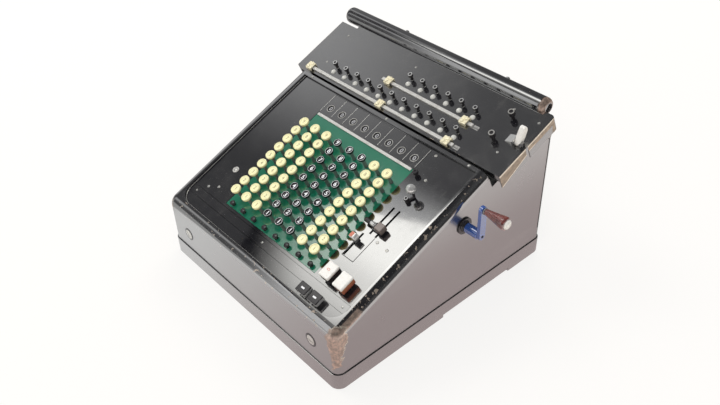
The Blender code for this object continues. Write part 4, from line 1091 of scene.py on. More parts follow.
    def check_windows(self) -> None:
        """Bezels, discs and numbers of the eight check windows, and the thin dividers between them."""
        finishes, xs, s = self.kit.finishes, COLUMN_XS, CHECK_WINDOW_S
        ring = [(4.15, -0.3), (4.75, -0.3), (4.75, 0.25), (4.45, 0.42), (4.15, 0.2)]
        bezel = Shape().turned(ring, HERE, 32).to_mesh()
        places = [FACE.at(x, s, 0).translation for x in xs]
        self.kit.repeat("check_bezels", bezel, places, finishes.rail, "machine", "nickel")
        discs, numbers = Shape(), Shape()
        disc = [(0, -2.4), (4.25, -2.4), (4.25, -0.9), (3.4, -0.6), (0, -0.5)]
        for number, x in enumerate(xs):
            discs.turned(disc, FACE.at(x, s, 0), 28)
            place = FACE.at(x, s, -0.46, radians((number * 47) % 30 - 15))
            numbers.mesh(self.kit.glyphs.mesh("0", 5.2, 0.12), place)
        add_piece("check_discs", discs.to_mesh(), [finishes.black], "machine")
        add_piece("check_numbers", numbers.to_mesh(), [finishes.grey_ink], "machine")
        bar = Shape().block((-0.22, 0, -0.1), (0.22, 25.5, 0.14), HERE).to_mesh()
        dividers = [x - 9.5 for x in xs] + [xs[-1] + 8.6]
        places = [FACE.at(x, 186.5, 0).translation for x in dividers]
        self.kit.repeat("check_dividers", bar, places, finishes.rail, "machine", "nickel")

    def small_parts(self) -> None:
        """Screws of the panel, its strip and the rim, and the round mark on the panel."""
        kit, finishes = self.kit, self.kit.finishes
        small = [
            (249.9, 99.2, 0), (264.5, 98.2, 0), (240.7, 180.5, 0), (42.7, 46.8, 0), (30.8, 40.3, 0),
            (229, 209.1, 0)
        ]
        kit.screws("panel_screws", small, 1.7, "machine")
        kit.screws("strip_screws", [(21.8, 28.9, 0), (144.9, 28.9, 0), (271.5, 28.9, 0)], 1.3, "machine", 5)
        kit.screws("rim_screws", [(23.5, 216.5, 3), (149.5, 216.5, 3), (268.5, 216.5, 3)], 1.6, "machine", 9)
        ring = [(2.1, -0.2), (3.9, -0.2), (3.9, 0.3), (3.5, 0.7), (2.5, 0.7), (2.1, 0.3)]
        mark = Shape().turned(ring, FACE.at(42, 73.9), 32)
        mark.turned([(0, -0.3), (1.7, -0.3), (1.7, 0.4), (0, 0.6)], FACE.at(42, 73.9), 20)
        add_piece("round_mark", mark.to_mesh(), [finishes.rail], "machine")

    def wall_screws(self) -> None:
        """Wide slotted screws of the walls with their washers, and a dark strip of painted shade for the seam
        near the right wall's rear.
        """
        finishes = self.kit.finishes
        facing = {
            "front": (pi / 2, "X"), "rear": (-pi / 2, "X"), "right": (pi / 2, "Y"), "left": (-pi / 2, "Y")
        }
        seats = [
            (36, 0, 42.3, "front"), (FACE.width - 38, 0, 43.2, "front"), (FACE.width, 295.5, 160, "right"),
            (0, 295.5, 160, "left")
        ]
        seats += [(x, FACE.depth, z, "rear") for x in (24, 267) for z in (38, 152)]
        washers, heads = Shape(), Shape()
        for x, y, z, side in seats:
            size = 1.5 if side == "front" else 0.62
            angle, axis = facing[side]
            place = FACE.corner(x, y, z) @ Matrix.Rotation(angle, 4, axis)
            place = place @ Matrix.Diagonal((size, size, 0.62, 1))
            ring = [(2.6, -0.2), (5.2, -0.2), (5.2, 0.25), (4.8, 0.55), (2.9, 0.55)]
            washers.turned(ring, place, 32)
            head = [(0, 0), (3.7, 0), (3.7, 0.7), (3, 1.3), (1.4, 1.7), (0, 1.8)]
            solid = Shape().turned(head, place, 28).to_mesh()
            turn = Matrix.Rotation(0.7 + z, 4, "Z")
            slot = Shape().block((-6, -0.45, 0.9), (6, 0.45, 6), place @ turn).to_mesh()
            heads.mesh(carved(solid, [slot]), IN_MM)
        # Painted shade: a thin dark strip for the seam's gap
        seam = Shape().block((290.5, 296.2, 36), (290.98, 297.4, 164), FACE.corner(0, 0, 0)).to_mesh()
        add_piece("rear_seam", seam, [finishes.hollow], "machine")
        add_piece("wall_washers", washers.to_mesh(), [finishes.black], "machine")
        add_piece("wall_screws", heads.to_mesh(), [finishes.nickel], "machine")


@dataclass
class Keyboard:
    """Number keys, their stems and slide bars, and the clearing keys in front of them."""

    kit: Kit
    rows: int = 9
    row_pitch: float = 13.185
    first_s: float = 54
    clearing_s: float = 41.8
    top: float = 16
    dark_columns: tuple[int, ...] = (3, 4, 5)

    def build(self) -> None:
        """Builds every column."""
        cream, dark = self.cap(5.7), self.cap(4.6)
        profile = [(0, -9.5), (1.9, -9.5), (1.9, 9), (2.3, 9.6), (2.3, 12.2), (0, 12.2)]
        stem = Shape().turned(profile, HERE, 12).to_mesh()
        for column, x in enumerate(COLUMN_XS):
            self.column(column, x, dark if column in self.dark_columns else cream, stem)
            self.clear_key(column, x)

    def cap(self, radius: float) -> bpy.types.Mesh:
        """Cap with a dished top inside a rounded rim."""
        top, small = self.top, radius * 0.45
        profile = [
            (0, top - 0.75),
            (radius - 1.9, top - 0.6),
            (radius - 1.25, top - 0.15),
            (radius - 0.75, top),
            (radius - 0.25, top - 0.2),
            (radius, top - 0.75),
            (radius - 0.05, top - 2.2),
            (radius - 0.5, top - 3.3),
            (radius - 1.6, top - 4),
            (small, top - 4.2),
            (0, top - 4.2),
        ]
        return Shape().turned(profile, HERE, 28).to_mesh()

    def column(self, column: int, x: float, cap: bpy.types.Mesh, stem: bpy.types.Mesh) -> None:
        """Builds one column's caps, stems with their bar, and numbers, with a white painted highlight ring on
        each dark cap.
        """
        finishes, body = self.kit.finishes, f"key_column_{column + 1}"
        dark = column in self.dark_columns
        ss = [self.first_s + row * self.row_pitch for row in range(self.rows)]
        places = [FACE.at(x, s, 0).translation for s in ss]
        look, slot = (finishes.black, "black_cap") if dark else (finishes.cream, "cream_cap")
        self.kit.repeat(f"caps_{column + 1}", cap, places, look, body, slot, [body])
        stems = Shape().mesh(self.kit.copies.mesh(stem, places, finishes.steel), IN_MM)
        stems.block((x - 2.5, ss[0] - 5, -10), (x + 2.5, ss[-1] + 5, -8), FACE.at(0), 0.3, 1)
        add_piece(f"stems_{column + 1}", stems.to_mesh(), [finishes.steel], body)
        numbers = Shape()
        for row, s in enumerate(ss):
            height, bold = (5, 0.16) if dark else (4, 0)
            numbers.mesh(self.kit.glyphs.mesh(str(row + 1), height, bold), FACE.at(x, s, self.top - 0.66))
            # On dark caps, a thin white ink ring on the rim: a painted highlight
            if dark:
                numbers.turned([(3.9, 15.85), (4.25, 15.8), (4.2, 16.02), (3.95, 16.02)], FACE.at(x, s), 24)
        ink, slot = (finishes.white_ink, "ivory") if dark else (finishes.faint_ink, "cream_cap")
        add_piece(f"numbers_{column + 1}", numbers.to_mesh(), [ink], body)

    def clear_key(self, column: int, x: float) -> None:
        """Builds one small clearing key with its bright collar."""
        finishes, body = self.kit.finishes, f"clear_key_{column + 1}"
        place = FACE.at(x, self.clearing_s)
        profile = [
            (0, -6.4), (1.9, -6.4), (1.9, 2.6), (2.9, 2.7), (3, 3.1), (3, 3.7), (2.6, 4.3), (1.2, 4.6),
            (0, 4.65)
        ]
        shape = Shape().turned(profile, place, 24)
        collar = [(1.85, 2.15), (2.55, 2.15), (2.6, 2.4), (2.3, 2.65), (1.85, 2.65)]
        shape.turned(collar, place, 24, 1)
        looks = [finishes.black, finishes.nickel]
        add_piece(f"clearing_key_{column + 1}", shape.to_mesh(), looks, body, [body])


@dataclass
class FunctionKeys:
    """Two tall white keys and two low dark keys."""

    kit: Kit

    def build(self) -> None:
        """Builds the four keys."""
        finishes = self.kit.finishes
        for side, (x, s) in zip(("left", "right"), WHITE_KEYS):
            place = FACE.at(x, s)
            shape = Shape().block((-2.5, -2, -9), (2.5, 2, 5), place, 0.2, 1, 2)
            shape.block((-6.5, -8.6, 4), (6.5, 8.6, 11.6), place, 0.8, 3, 1)
            shape.block((-6.8, -8.9, 10.4), (6.8, 8.9, 14), place, 1.3, 4, 0)
            name = f"white_key_{side}"
            looks = [finishes.ivory, finishes.amber if side == "right" else finishes.black, finishes.steel]
            add_piece(f"{name}_cap", shape.to_mesh(), looks, name, [name])
            if side == "left":
                mark = Shape().mesh(self.kit.glyphs.mesh("0", 4), FACE.at(x, s + 0.4, 14.02, pi / 2))
                add_piece("white_key_mark", mark.to_mesh(), [finishes.red_ink], name)
        for side, (x, s) in zip(("left", "right"), DARK_KEYS):
            place = FACE.at(x, s)
            shape = Shape().block((-2.5, -2, -9), (2.5, 2, 5), place, 0.2, 1, 1)
            shape.block((-7, -5.75, 4), (7, 5.75, 7.8), place, 0.5, 2, 1)
            shape.block((-6.9, -5.65, 7.2), (6.9, 5.65, 9), place, 0.9, 3, 0)
            shape.block((-2.2, -0.9, 8.9), (2.2, 0.9, 9.06), place, 0, 1, 2)
            name = f"dark_key_{side}"
            looks = [finishes.black, finishes.chrome, finishes.white_ink]
            add_piece(f"{name}_cap", shape.to_mesh(), looks, name, [name])


@dataclass
class Levers:
    """Tab slider, mode lever with its cover plate, and ball lever."""

    kit: Kit

    def build(self) -> None:
        """Builds the three levers."""
        self.slider()
        self.mode_lever()
        self.ball_lever()

    def slider(self) -> None:
        """Block on twin slots with a turned handle to its left."""
        finishes, place = self.kit.finishes, FACE.at(0, SLIDER_S)
        shape = Shape().block((234.5, -4.4, 0.4), (245.6, 4.4, 2.6), place, 0.4, 2, 1)
        for x in SLIDER_XS:
            shape.block((x - 0.9, -4, -4), (x + 0.9, 4, 1), place, 0.1, 1, 1)
        shape.block((241, -4.5, 2.2), (250, 4.5, 10), place, 1.1, 4, 0)
        shape.block((238.5, -3, 2), (242, 3, 7.4), place, 0.6, 2, 1)
        grip = FACE.at(223, SLIDER_S, 5)
        sleeve = [(0, 0), (1.7, 0.1), (2.5, 0.7), (2.6, 1.6), (2.6, 8.6), (0, 8.6)]
        shape.turned(sleeve, grip, 24, 1, True)
        neck = [
            (0, 8.5), (2.3, 8.5), (2.3, 10.4), (2.6, 10.5), (2.6, 13.6), (1.8, 14.4), (1.5, 16.5), (0, 16.5)
        ]
        shape.turned(neck, grip, 24, 2, True)
        looks = [finishes.tab, finishes.black, finishes.chrome]
        add_piece("slider_block", shape.to_mesh(), looks, "tab_slider", ["tab_slider"])

    def mode_lever(self) -> None:
        """Lever with a pale label, and a dark strip of painted shade in the gap round the thin U plate at its
        slot.
        """
        finishes = self.kit.finishes
        place = FACE.at(MODE_LEVER_X, 89)
        shape = Shape().block((-0.9, -2.7, -4), (0.9, 2.7, 8), place, 0.15, 1, 2)
        shape.block((-2.4, -3.1, 0.4), (2.4, 3.1, 2.4), place, 0.4, 2, 1)
        shape.block((-4.5, -3.2, 6.5), (4.5, 3.2, 10.2), place, 0.7, 3, 0)
        shape.block((-4.1, -2.8, 10.1), (-0.4, 2.8, 10.45), place, 0.1, 1, 3)
        shape.block((1.4, -2.8, 10.1), (4.1, 2.8, 10.45), place, 0.1, 1, 1)
        looks = [finishes.ivory, finishes.steel, finishes.steel, finishes.red_ink]
        add_piece("mode_lever_head", shape.to_mesh(), looks, "mode_lever", ["mode_lever"])
        # Painted shade: a dark strip along the gap round the U plate
        line = [(228.3, 86.5), (228.3, 69.3), (244.4, 69.3), (244.4, 101)]
        border = Shape()
        for (ax, a_s), (bx, b_s) in zip(line, line[1:]):
            low = (min(ax, bx) - 0.35, min(a_s, b_s) - 0.35, -0.1)
            border.block(low, (max(ax, bx) + 0.35, max(a_s, b_s) + 0.35, 0.05), FACE.at(0))
        add_piece("mode_plate_gap", border.to_mesh(), [finishes.hollow], "machine")

    def ball_lever(self) -> None:
        """Bright ball on a neck beside a black ringed pivot."""
        finishes, place = self.kit.finishes, FACE.at(*BALL_PIVOT)
        pivot = [
            (0, -4), (1.3, -4), (1.3, 0.3), (2.6, 0.3), (2.6, 5.4), (2.1, 6), (1.5, 6), (1.3, 5.4), (0, 5.4)
        ]
        shape = Shape().turned(pivot, place, 28, 0)
        shape.turned([(1.5, 5.9), (2.05, 5.9), (2.05, 6.12), (1.5, 6.12)], place, 28, 1)
        neck = [(0, 0, 1.2), (1.8, 3.8, 1.4), (3.4, 7.3, 2), (3.5, 7.5, 6), (3.5, 7.5, 11)]
        shape.pipe(neck, 1.5, place, 14, 0)
        radius, steps = 5.3, 18
        ball = [(radius * sin(pi * i / steps), -radius * cos(pi * i / steps)) for i in range(steps + 1)]
        ball[0], ball[-1] = (0, -radius), (0, radius)
        shape.turned(ball, FACE.at(245.8, 158.9, 15), 36, 1)
        looks = [finishes.black, finishes.chrome]
        add_piece("ball_lever_parts", shape.to_mesh(), looks, "ball_lever", ["ball_lever"])


@dataclass
class Carriage:
    """Plate, rails, pointers, dials, buttons, clearing lever and the roll along its rear edge."""

    kit: Kit
    pitch: float = 19
    result_first: tuple[float, float] = (39.8, 236)
    counter_first: tuple[float, float] = (134.8, 266.2)
    knob_behind: float = 7
    top: float = 1
    overhang: float = 11.5

    def build(self) -> None:
        """Builds every piece of the carriage."""
        dress("carriage_plate", self.kit.finishes.carriage)
        self.rails()
        self.pointers()
        self.dials()
        self.buttons()
        self.clearing_lever()
        self.roll()
        self.small_parts()

    def windows(self) -> list[tuple[str, float, float]]:
        """Dial's name and its window's place, for both registers."""
        registers = (("result", 11, self.result_first), ("counter", 6, self.counter_first))
        return [
            (f"{kind}_dial_{i + 1}", x + self.pitch * i, s)
            for kind, count, (x, s) in registers
            for i in range(count)
        ]

    def rails(self) -> None:
        """Bright rails, the window bezels, and the small scale plates at the rails' right ends."""
        finishes, kit = self.kit.finishes, self.kit
        rails = Shape()
        for start, end, s in ((4, 237, RESULT_RAIL_S), (103, 238, COUNTER_RAIL_S)):
            rails.block((start - 0.1, s - 1.9, 0.9), (end + 0.1, s + 1.9, 3.3), FACE.at(0), 0.35, 2)
        add_piece("decimal_rails", rails.to_mesh(), [finishes.rail], "carriage")
        ring = [(2.4, -0.3), (3.1, -0.3), (3.1, 0.2), (2.8, 0.4), (2.4, 0.15)]
        bezel = Shape().turned(ring, HERE, 24).to_mesh()
        places = [FACE.at(x, s, self.top).translation for _, x, s in self.windows()]
        kit.repeat("window_bezels", bezel, places, finishes.rail, "carriage", "nickel")
        dome = [(0, -0.9), (2.45, -0.9), (2.45, 0.2), (3, 0.3), (2.9, 0.8), (2.2, 1.6), (1.2, 2.1), (0, 2.3)]
        lens = Shape().turned(dome, HERE, 24).to_mesh()
        kit.repeat("window_lenses", lens, places, finishes.lens, "carriage", "ivory")
        plates, marks = Shape(), Shape()
        for x, s in ((241.2, RESULT_RAIL_S), (242.2, COUNTER_RAIL_S)):
            plates.block((x - 3.6, s - 2.4, 0.9), (x + 3.6, s + 2.4, 1.6), FACE.at(0), 0.2, 1)
            for step in range(5):
                left = x - 2.8 + step * 1.3
                high = (x - 2.4 + step * 1.3, s + 0.4 * (step % 2), 1.68)
                marks.block((left, s - 1.6, 1.55), high, FACE.at(0))
        add_piece("scale_plates", plates.to_mesh(), [finishes.nickel], "carriage")
        add_piece("scale_marks", marks.to_mesh(), [finishes.dark_ink], "carriage")

    def pointer_form(self, shape: Shape, x: float, s: float) -> None:
        """Adds one decimal pointer: a saddle over the rail with a raised wing and a round lug."""
        place = FACE.at(x, s, self.top) @ Matrix.Diagonal((1.68, 1.45, 1.15, 1))
        outline = [
            (-3.4, 0.35), (-2.4, 0.35), (-2.4, 2.75), (2.4, 2.75), (2.4, 0.35), (3.4, 0.35), (3.4, 3.6),
            (2.8, 4), (-2.8, 4), (-3.4, 3.6)
        ]
        shape.slab(outline, -2.7, 2.7, place, 0.25, 2, across=True)
        lug = [(0, 3.6), (1.5, 3.6), (1.5, 4.4), (1, 4.95), (0, 5.05)]
        shape.turned(lug, place @ Matrix.Translation((-1, -1.4, 0)), 16)
        wing = [(-1.1, 0), (1.1, 0), (1.3, 1.6), (0, 3.4), (-1.3, 1.6)]
        shape.slab(wing, 3.6, 4.7, place @ Matrix.Translation((0.6, 0.3, 0)), 0.3, 2)

    def pointers(self) -> None:
        """Two pointers that slide and three that stay at the rails' ends."""
        finishes = self.kit.finishes
        sliders = (("result_pointer", 128.4, RESULT_RAIL_S), ("counter_pointer", 113.7, COUNTER_RAIL_S))
        for name, x, s in sliders:
            shape = Shape()
            self.pointer_form(shape, x, s)
            add_piece(f"{name}_brass", shape.to_mesh(), [finishes.brass], name, [name])
        fixed = Shape()
        for x, s in ((9, RESULT_RAIL_S), (227.8, RESULT_RAIL_S), (227, COUNTER_RAIL_S)):
            self.pointer_form(fixed, x, s)
        add_piece("end_pointers", fixed.to_mesh(), [finishes.brass], "carriage")

    def dials(self) -> None:
        """Twirl knob, axle and numbered disc of each dial."""
        finishes = self.kit.finishes
        for number, (name, x, window_s) in enumerate(self.windows()):
            s = window_s + self.knob_behind
            place = FACE.at(x, s)
            disc = [
                (0, -7), (1.5, -7), (1.5, -2.6), (9.1, -2.6), (9.1, -1.4), (1.5, -1.4), (1.5, 1.4), (0, 1.4)
            ]
            shape = Shape().turned(disc, place, 40, 0)
            knob = [
                (0, 1.3), (1.5, 1.3), (1.9, 2), (1.7, 4.4), (2.1, 5.6), (2.6, 6.4), (2.7, 7), (2.7, 9.8),
                (2.4, 10.4), (1.7, 10.5), (1.5, 9.9), (0, 9.7)
            ]
            shape.turned(knob, place, 20, 1)
            shape.turned([(1.6, 10.3), (2.6, 10.2), (2.5, 10.7), (1.7, 10.7)], place, 20, 2)
            shown = (number * 7 + 3) % 10 if number % 3 else 0
            seat = Matrix.Translation((0, -self.knob_behind, -1.36))
            for digit in range(10):
                turn = Matrix.Rotation(2 * pi * (digit - shown) / 10, 4, "Z")
                shape.mesh(self.kit.glyphs.mesh(str(digit), 3.3), place @ turn @ seat, 3)
            looks = [finishes.dial, finishes.black, finishes.chrome, finishes.dark_ink]
            add_piece(f"{name}_parts", shape.to_mesh(), looks, name, [name])

    def buttons(self) -> None:
        """Two black buttons with ringed tops."""
        finishes = self.kit.finishes
        for name, s in (("front_button", 255.5), ("rear_button", 286.5)):
            place = FACE.at(267, s)
            profile = [
                (0, -8), (2, -8), (2, 6.3), (3.5, 6.4), (3.7, 7), (3.7, 11.2), (3.3, 12), (2.3, 12),
                (2, 11.3), (0, 11.2)
            ]
            shape = Shape().turned(profile, place, 28, 0)
            shape.turned([(2.2, 11.8), (3.4, 11.7), (3.3, 12.2), (2.3, 12.2)], place, 28, 1)
            looks = [finishes.black, finishes.nickel]
            add_piece(f"{name}_parts", shape.to_mesh(), looks, name, [name])

    def clearing_lever(self) -> None:
        """Pale tab that leans back, with its pin and bright foot, and the chrome cover in front of it."""
        finishes = self.kit.finishes
        place = FACE.at(293.9, 262, 3.5)
        outline = [
            (-2.1, 0.2), (-1.4, -1.6), (0.8, -2.05), (2.6, -1.2), (9, 3.6), (14, 9.4), (14.5, 12),
            (13.6, 14.4), (11.4, 15), (9.4, 14.2), (3.4, 8.4), (-1, 3.4)
        ]
        shape = Shape().slab(outline, -3.3, 3.3, place, 0.9, 3, 0, True)
        shape.turned([(0, -5.4), (1.2, -5.4), (1.2, 5.4), (0, 5.4)], place, 16, 1, True)
        looks = [finishes.ivory, finishes.steel]
        add_piece("clearing_tab", shape.to_mesh(), looks, "clearing_lever", ["clearing_lever"])
        wing = [(0, 0), (12.4, 0), (12.4, 0.6), (3, 4.6), (0, 9)]
        foot = Shape().slab(wing, -4.5, 5.5, FACE.at(290.6, 264, self.top, pi / 2), 0.3, 2, 0, True)
        add_piece("clearing_wing", foot.to_mesh(), [finishes.chrome], "carriage")

    def roll(self) -> None:
        """Round bar along the rear edge with rounded ends, a worn right end and two bolts."""
        finishes = self.kit.finishes
        left, right, radius = -self.overhang, ROLL_END_X, ROLL_RADIUS
        profile = [
            (0, left), (6, left), (8.4, left + 0.8), (9.5, left + 2.6), (radius, left + 5),
            (radius, right - 8), (9.6, right - 5), (9, right - 2.6), (7.8, right - 1), (6, right - 0.1),
            (5, right), (4.8, right - 2), (0, right - 2.5)
        ]
        shape = Shape().turned(profile, FACE.at(0, ROLL_S), 80, 0, True)
        add_piece("roll_bar", shape.to_mesh(), [finishes.roll], "carriage", ["carriage_roll"])
        bolts = Shape()
        lean = Matrix.Rotation(radians(-68), 4, "X")
        for x in (80, 230):
            place = FACE.at(x, ROLL_S) @ lean @ Matrix.Translation((0, 0, 9.2))
            hexagon = [(2.4 * cos(pi * i / 3), 2.4 * sin(pi * i / 3)) for i in range(6)]
            bolts.slab(hexagon, 0, 1.5, place, 0.2, 1)
            bolts.turned([(0, 0), (1.1, 0), (1.1, 2), (0, 2.1)], place, 12)
        add_piece("roll_bolts", bolts.to_mesh(), [finishes.steel], "carriage")

    def small_parts(self) -> None:
        """Screws of the plate and the slotted stud behind the clearing lever."""
        places = [(14, 286.5), (125.7, 289), (20.2, 243.3), (281, 245), (293.8, 294.5), (260.8, 296.4)]
        self.kit.screws("carriage_screws", [(x, s, self.top) for x, s in places], 1.5, "carriage", 11)


@dataclass
class Drive:
    """Crank bush, arm and grip; distances along their axis count from the right wall."""

    kit: Kit
    radius: float = 32.3
    arm_start: float = 19.7
    arm_end: float = 24

    def build(self) -> None:
        """Builds the drive's pieces."""
        self.bush()
        self.arm()
        self.grip()
        dress("crank_shaft", self.kit.finishes.steel)
        dress("drum_shaft", self.kit.finishes.steel)

    def spin(self, shape: Shape, profile: Sequence[Point], sides: int, finish: int, off: float = 0) -> None:
        """Adds a form turned about the crank's axis, or about a line that lies off it."""
        turned = [(radius, FACE.width + along) for radius, along in profile]
        shape.turned(turned, FACE.corner(0, CRANK_Y, CRANK_Z + off), sides, finish, True)

    def bush(self) -> None:
        """Round flange on the wall with its collar."""
        profile = [
            (3.8, -3.5), (6.5, -3.5), (6.5, 0.3), (9.2, 0.3), (9.5, 0.7), (9.5, 1.4), (9, 1.9), (7, 1.9),
            (6.4, 2.4), (6.2, 3.4), (5.6, 3.9), (3.8, 3.9)
        ]
        shape, looks = Shape(), [self.kit.finishes.black]
        self.spin(shape, profile, 56, 0)
        add_piece("bush_ring", shape.to_mesh(), looks, "machine", ["crank_bush"])

    def arm(self) -> None:
        """Hub, flat arm, a dark disc of painted shade for the shaft's end in it, and the spindle of the grip.
        """
        finishes, arm = self.kit.finishes, Shape()
        hub = [(3.8, 4.2), (5.1, 4.2), (5.4, 4.6), (5.4, 19.4), (5.1, 19.8), (3.8, 19.8)]
        self.spin(arm, hub, 40, 0)
        outline = rounded_outline((-4.25, -4.25), (4.25, self.radius + 4.25), [4.2] * 4, 10)
        low, high = FACE.width + self.arm_start, FACE.width + self.arm_end
        arm.slab(outline, low, high, FACE.corner(0, CRANK_Y, CRANK_Z), 0.5, 2, 0, True)
        # Dark disc at the shaft's end: painted shade of the bore
        self.spin(arm, [(0, 23.9), (1.5, 23.9), (1.5, 24.25), (0, 24.3)], 20, 1)
        self.spin(arm, [(0, 23), (1.6, 23), (1.6, 44), (0, 44)], 16, 2, self.radius)
        looks = [finishes.blue, finishes.hollow, finishes.steel]
        add_piece("crank_arm_parts", arm.to_mesh(), looks, "crank", ["crank_arm"])

    def grip(self) -> None:
        """Turned wooden grip with its pale end and its collar."""
        finishes, shape, start = self.kit.finishes, Shape(), self.arm_end + 0.3
        wood = [
            (0, 19.9), (1.9, 19.9), (1.9, 0), (2.6, 0), (3.1, 0.4), (3.2, 1.6), (3.6, 4.5), (4.6, 11),
            (5.7, 17), (6.5, 21.6), (6.8, 24.2), (6.75, 25.6), (6.2, 26.8), (5.4, 27.3), (0, 27.4)
        ]
        end = [(0, 27.2), (4.9, 27.2), (5, 27.9), (4.4, 28.9), (3, 29.7), (1.4, 30), (0, 30)]
        collar = [(1.95, 0), (3.5, 0), (3.6, 0.8), (3.4, 1.5), (1.95, 1.5)]
        for finish, (profile, sides) in enumerate(((wood, 48), (end, 40), (collar, 36))):
            seated = [(radius, start + along) for radius, along in profile]
            self.spin(shape, seated, sides, finish, self.radius)
        looks = [finishes.wood, finishes.ivory, finishes.steel]
        add_piece("grip_parts", shape.to_mesh(), looks, "grip", ["crank_grip"])


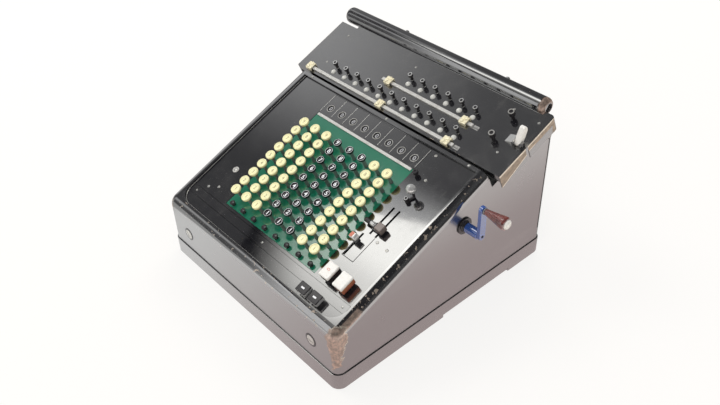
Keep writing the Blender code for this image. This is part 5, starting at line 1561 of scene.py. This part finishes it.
@dataclass
class Studio:
    """Camera at the photograph's viewing angle, soft lamps, pale floor and surroundings."""

    focal_pixels: float = 817.78
    frame_width: int = 720
    # Fitted from the case's front left corner, and moved to its middle
    camera_place: tuple[float, float, float] = (694.948 - 145.4, -309.649 - 152.5, 634.692)

    def build(self) -> None:
        """Sets the camera, the lamps, the floor and the world."""
        self.camera()
        self.lamp("soft_light", (-0.80, -0.36, 1.32), (0.06, -0.05, 0.1), (0.62, 0.62), 7.5)
        self.lamp("rear_light", (-0.75, 1.15, 1.35), (0.0, 0.0, 0.1), (1.3, 0.9), 16.5)
        self.lamp("front_fill", (0.9, -1.3, 1.2), (0.0, 0.0, 0.1), (1.2, 1.2), 8.5)
        self.card()
        self.floor()
        self.world()
        bpy.context.scene.view_settings.view_transform = "Standard"

    def camera(self) -> None:
        """Adds the camera with the fitted place, axes and focal length."""
        right = Vector((0.664971, 0.746415, -0.026017))
        down = Vector((0.449726, -0.42798, -0.783951))
        ahead = Vector((-0.596288, 0.509605, -0.620277))
        data = bpy.data.cameras.new("camera")
        data.sensor_fit, data.sensor_width = "HORIZONTAL", 36
        data.lens = self.focal_pixels / self.frame_width * data.sensor_width
        data.clip_start, data.clip_end = 0.01, 20
        axes = Matrix((right, -down, -ahead)).transposed().to_4x4()
        made = bpy.data.objects.new("camera", data)
        made.matrix_world = Matrix.Translation(Vector(self.camera_place) * MM) @ axes
        bpy.context.scene.collection.objects.link(made)
        bpy.context.scene.camera = made

    def lamp(
        self,
        name: str,
        place: Sequence[float],
        target: Sequence[float],
        size: Point,
        power: float,
    ) -> None:
        """Adds a rectangular soft lamp that glossy surfaces do not show.

        Args:
            name: Lamp's name.
            place: Where it stands, in metres.
            target: Point that it faces.
            size: Its width and height, in metres.
            power: Its power in watts.
        """
        data = bpy.data.lights.new(name, "AREA")
        data.shape, data.size, data.size_y, data.energy = "RECTANGLE", size[0], size[1], power
        made = bpy.data.objects.new(name, data)
        made.location = place
        made.rotation_euler = (Vector(target) - Vector(place)).to_track_quat("-Z", "Y").to_euler()
        made.visible_glossy = False
        bpy.context.scene.collection.objects.link(made)

    def card(self) -> None:
        """Adds the overhead light panel that the enamel mirrors, fading towards the left."""
        mesh = bpy.data.meshes.new("light_card")
        corners = [(-0.96, -1.3, 1.1), (-0.25, -1.3, 1.1), (-0.25, -0.04, 1.1), (-0.96, -0.264, 1.1)]
        mesh.from_pydata(corners, [], [(3, 2, 1, 0)])
        made = on_stage("light_card", mesh)
        material, book = new_material("light_card")
        x, y, _ = book.axes()
        strength = x.ramp(-930, -690) * (y.ramp(-230, -330) * -0.7 + 2.5) * (y.ramp(-560, -340) * 0.85 + 0.15)
        glow = book.node("ShaderNodeEmission", {}, {"Color": (1, 0.99, 0.95, 1), "Strength": strength})
        book.node("ShaderNodeOutputMaterial", {}, {"Surface": glow})
        mesh.materials.append(material)
        made.visible_camera = made.visible_diffuse = made.visible_shadow = False
        made.visible_transmission = False

    def floor(self) -> None:
        """Adds the pale floor, which shows white and keeps a soft shadow, with painted shade in its colour as
        reflections see it.
        """
        mesh = bpy.data.meshes.new("floor")
        reach, below = 3.0, -0.0004
        corners = [(reach * x, reach * y, below) for x, y in ((-1, -1), (1, -1), (1, 1), (-1, 1))]
        mesh.from_pydata(corners, [], [(0, 1, 2, 3)])
        made = on_stage("floor", mesh)
        material, book = new_material("pale_floor")
        seen = book.node("ShaderNodeLightPath", {}, {}, "Is Camera Ray")
        glossy, through = seen.other("Is Glossy Ray"), seen.other("Is Transmission Ray")
        x, y, _ = book.axes()
        # Floor as reflections see it, painted shade: darker to the right where the case's shadow falls, at
        # the far left, and behind and beside the case, paler and warm again at the far right
        mirrored = book.blend(x.ramp(-190, 170), (1, 0.995, 0.98), (0.62, 0.52, 0.51))
        mirrored = book.blend(x.ramp(-198, -250), mirrored, (0.5, 0.5, 0.49))
        mirrored = book.blend(x.ramp(205, 290), mirrored, (0.98, 0.92, 0.89))
        behind = x.ramp(170, 140) * y.ramp(150, 175)
        beside = x.ramp(-145, -165) * y.ramp(-150, -110)
        mirrored = book.blend(behind.most(beside), mirrored, (0.42, 0.41, 0.4))
        shade = book.blend(glossy, (1, 1, 1), mirrored)
        paper = book.node("ShaderNodeBsdfDiffuse", {}, {"Color": (0.95, 0.9, 0.82, 1), "Roughness": 1.0})
        glow = book.node("ShaderNodeEmission", {}, {"Color": shade, "Strength": 1.0})
        shown = (seen.most(through) * 0.79).most(glossy)
        mixed = book.node("ShaderNodeMixShader", {}, {0: shown, 1: paper, 2: glow})
        book.node("ShaderNodeOutputMaterial", {}, {"Surface": mixed})
        mesh.materials.append(material)

    def world(self) -> None:
        """White behind the object, even light on it, and a dim studio with a paler ceiling in its gloss."""
        world = bpy.data.worlds.new("studio")
        bpy.context.scene.world = world
        world.use_nodes = True
        book = Book(world.node_tree)
        path = book.node("ShaderNodeLightPath", {}, {}, "Is Camera Ray")
        glossy = path.other("Is Glossy Ray")
        direction = book.node("ShaderNodeTexCoord", {}, {}, "Generated")
        x = book.node("ShaderNodeSeparateXYZ", {}, {0: direction})
        y = x.other(1)
        rear = y.ramp(-0.12, 0.05) * (y.ramp(0.3, 0.1) * 0.75 + 0.25) * (x.ramp(-0.52, -0.74) * 0.52 + 0.06)
        halo = y.ramp(-0.03, -0.085) * x.ramp(-0.66, -0.58) * 0.8
        front = y.ramp(-0.42, -0.52) * (y.ramp(-0.66, -0.56) * 0.4 + 0.04)
        mirrored = rear + (halo + front) * x.ramp(-0.44, -0.5) + x.ramp(-0.42, -0.5) * 0.05 + 0.02
        strength = mirrored * glossy + 0.6 * (1 - glossy)
        light = path * (1 - strength) + strength
        background = book.node("ShaderNodeBackground", {}, {"Color": (1, 1, 1, 1), "Strength": light})
        book.node("ShaderNodeOutputWorld", {}, {"Surface": background})


def main() -> None:
    """Builds the scene, one sub-assembly after another."""
    logging.basicConfig(level=logging.INFO, format="%(name)s: %(message)s")
    Studio().build()
    kit = Kit(Finishes(), Copies(), Glyphs())
    for part in (CaseWork(kit), Keyboard(kit), FunctionKeys(kit), Levers(kit), Carriage(kit), Drive(kit)):
        part.build()
        LOG.info("%s built", type(part).__name__)
    bpy.context.view_layer.update()


if __name__ == "__main__":
    main()
